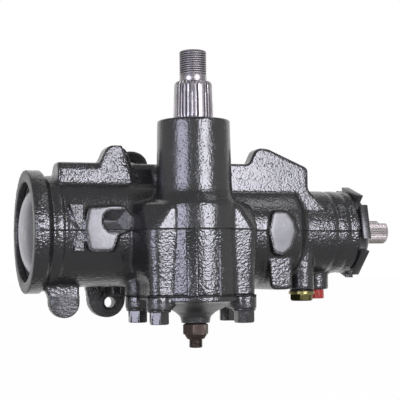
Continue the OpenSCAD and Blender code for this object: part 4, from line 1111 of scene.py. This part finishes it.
def camera_axes(studio):
    """Right, up and back directions of the camera from its azimuth, elevation and roll."""
    a, e, roll = studio.azimuth, studio.elevation, studio.roll
    back = Vector((math.sin(a) * math.cos(e), -math.cos(a) * math.cos(e), math.sin(e)))
    right = Vector((math.cos(a), math.sin(a), 0))
    up = back.cross(right)
    return right * math.cos(roll) + up * math.sin(roll), up * math.cos(roll) - right * math.sin(roll), back


def facing(place, right, up, back):
    """Matrix of an object at a place with its axes along three directions."""
    return Matrix.Translation(place) @ Matrix((right, up, back)).transposed().to_4x4()


def softbox(name, place, width, height, radiance, color):
    """Oval area lamp at a place facing the object, its power set for a given radiance."""
    lamp = bpy.data.lights.new(name, "AREA")
    lamp.shape = "ELLIPSE"
    lamp.size, lamp.size_y = width, height
    lamp.energy = radiance * math.pi * (math.pi / 4 * width * height)
    lamp.color = color
    obj = new_object(name, lamp)
    back = (place - Vector(LAMP_TARGET)).normalized()
    right = Vector((0, 0, 1)).cross(back).normalized()
    obj.matrix_world = facing(place, right, back.cross(right), back)


def white_ray(tree):
    """Light Path's outputs, and 1 for camera, glossy and transmission rays."""
    path = add(tree, "ShaderNodeLightPath").outputs
    seen = math_node(tree, "MAXIMUM", path["Is Camera Ray"], path["Is Glossy Ray"])
    return path, math_node(tree, "MAXIMUM", seen, path["Is Transmission Ray"])


def floor_material():
    """Pale matt floor that is nearly plain white to the camera."""
    material = bpy.data.materials.new("floor_pale")
    tree = blank_tree(material)
    _, white = white_ray(tree)
    matt = add(tree, "ShaderNodeBsdfDiffuse", {"Color": (0.9, 0.9, 0.9, 1)}).outputs[0]
    glow = add(tree, "ShaderNodeEmission", {"Color": (1, 1, 1, 1), "Strength": 1.0}).outputs[0]
    mixed = add(tree, "ShaderNodeMixShader", links={0: times(tree, white, FLOOR_GLOW), 1: matt, 2: glow})
    add(tree, "ShaderNodeOutputMaterial", links={"Surface": mixed.outputs[0]})
    return material


def studio_world(behind):
    """World that is white behind the object, and a dim grey elsewhere, darker above and below."""
    world = bpy.data.worlds.new("studio")
    tree = blank_tree(world)
    path, white = white_ray(tree)
    direction = add(tree, "ShaderNodeTexCoord").outputs["Generated"]
    split = add(tree, "ShaderNodeVectorMath", {1: tuple(behind)}, {0: direction}, operation="DOT_PRODUCT")
    level = times(tree, remap(tree, split.outputs["Value"], 0.36, 0.72), white)
    level = math_node(tree, "MAXIMUM", level, path["Is Camera Ray"])
    tilt = math_node(tree, "ABSOLUTE", add(tree, "ShaderNodeSeparateXYZ", links={0: direction}).outputs["Z"])
    level = math_node(tree, "MAXIMUM", level, remap(tree, tilt, 0.15, 0.6, 0.36, 0.22))
    background = add(tree, "ShaderNodeBackground", {"Color": (1, 1, 1, 1)}, {"Strength": level})
    add(tree, "ShaderNodeOutputWorld", links={"Surface": background.outputs[0]})
    return world


class GEARBOX_OT_stage(bpy.types.Operator):
    """White studio: pale floor, white surround, three softboxes and the camera"""

    bl_idname = "gearbox.stage"
    bl_label = "Studio"

    def execute(self, context):
        scene = context.scene
        studio = scene.gearbox_studio
        scene.view_settings.view_transform = "Standard"
        right, up, back = camera_axes(studio)

        camera = new_object("camera", bpy.data.cameras.new("camera"))
        camera.data.lens = studio.lens
        camera.data.sensor_width = 36
        camera.data.shift_x = (PHOTO_SIZE / 2 - PHOTO_CENTRE[0]) / PHOTO_SIZE
        camera.data.shift_y = (PHOTO_CENTRE[1] - PHOTO_SIZE / 2) / PHOTO_SIZE
        camera.data.clip_start, camera.data.clip_end = 0.01, 100
        camera.matrix_world = facing(Vector((0, 0, WORM_Z)) + back * studio.distance, right, up, back)
        scene.camera = camera

        for name, (place, width, height, color) in SOFTBOXES.items():
            softbox(f"{name}_softbox", Vector(place), width, height, getattr(studio, name), color)

        level = CAD_BOX[0][2] - FLOOR_DROP
        corners = [(x * FLOOR_SIZE, y * FLOOR_SIZE, level) for x, y in ((-1, -1), (1, -1), (1, 1), (-1, 1))]
        mesh = bpy.data.meshes.new("floor")
        mesh.from_pydata(corners, [], [[0, 1, 2, 3]])
        mesh.materials.append(floor_material())
        floor = new_object("floor", mesh)
        floor.visible_glossy = False
        floor.visible_shadow = False

        scene.world = studio_world(-Vector((back.x, back.y, 0)).normalized())
        return {"FINISHED"}


STEPS = (
    GEARBOX_OT_stage,
    GEARBOX_OT_inner_finish,
    GEARBOX_OT_case,
    GEARBOX_OT_cover,
    GEARBOX_OT_sector_shaft,
    GEARBOX_OT_input_shaft,
    GEARBOX_OT_fasteners,
    GEARBOX_OT_end_plug,
    GEARBOX_OT_valve_end,
    GEARBOX_OT_port_plugs,
)


class GEARBOX_PT_panel(bpy.types.Panel):
    """Steps that dress the gearbox, in order."""

    bl_idname = "GEARBOX_PT_panel"
    bl_label = "Steering Gearbox"
    bl_space_type = "VIEW_3D"
    bl_region_type = "UI"
    bl_category = "Gearbox"

    def draw(self, context):
        for step in STEPS:
            self.layout.operator(step.bl_idname)


CLASSES = (*SETTINGS.values(), *STEPS, GEARBOX_PT_panel)


def register():
    """Register the classes and hang the settings on the scene."""
    for cls in CLASSES:
        bpy.utils.register_class(cls)
    for name, cls in SETTINGS.items():
        setattr(bpy.types.Scene, name, PointerProperty(type=cls))


def unregister():
    """Take the settings and the classes away again."""
    for name in SETTINGS:
        delattr(bpy.types.Scene, name)
    for cls in reversed(CLASSES):
        bpy.utils.unregister_class(cls)


def main():
    register()
    for step in STEPS:
        category, name = step.bl_idname.split(".")
        getattr(getattr(bpy.ops, category), name)()


if __name__ == "__main__":
    main()
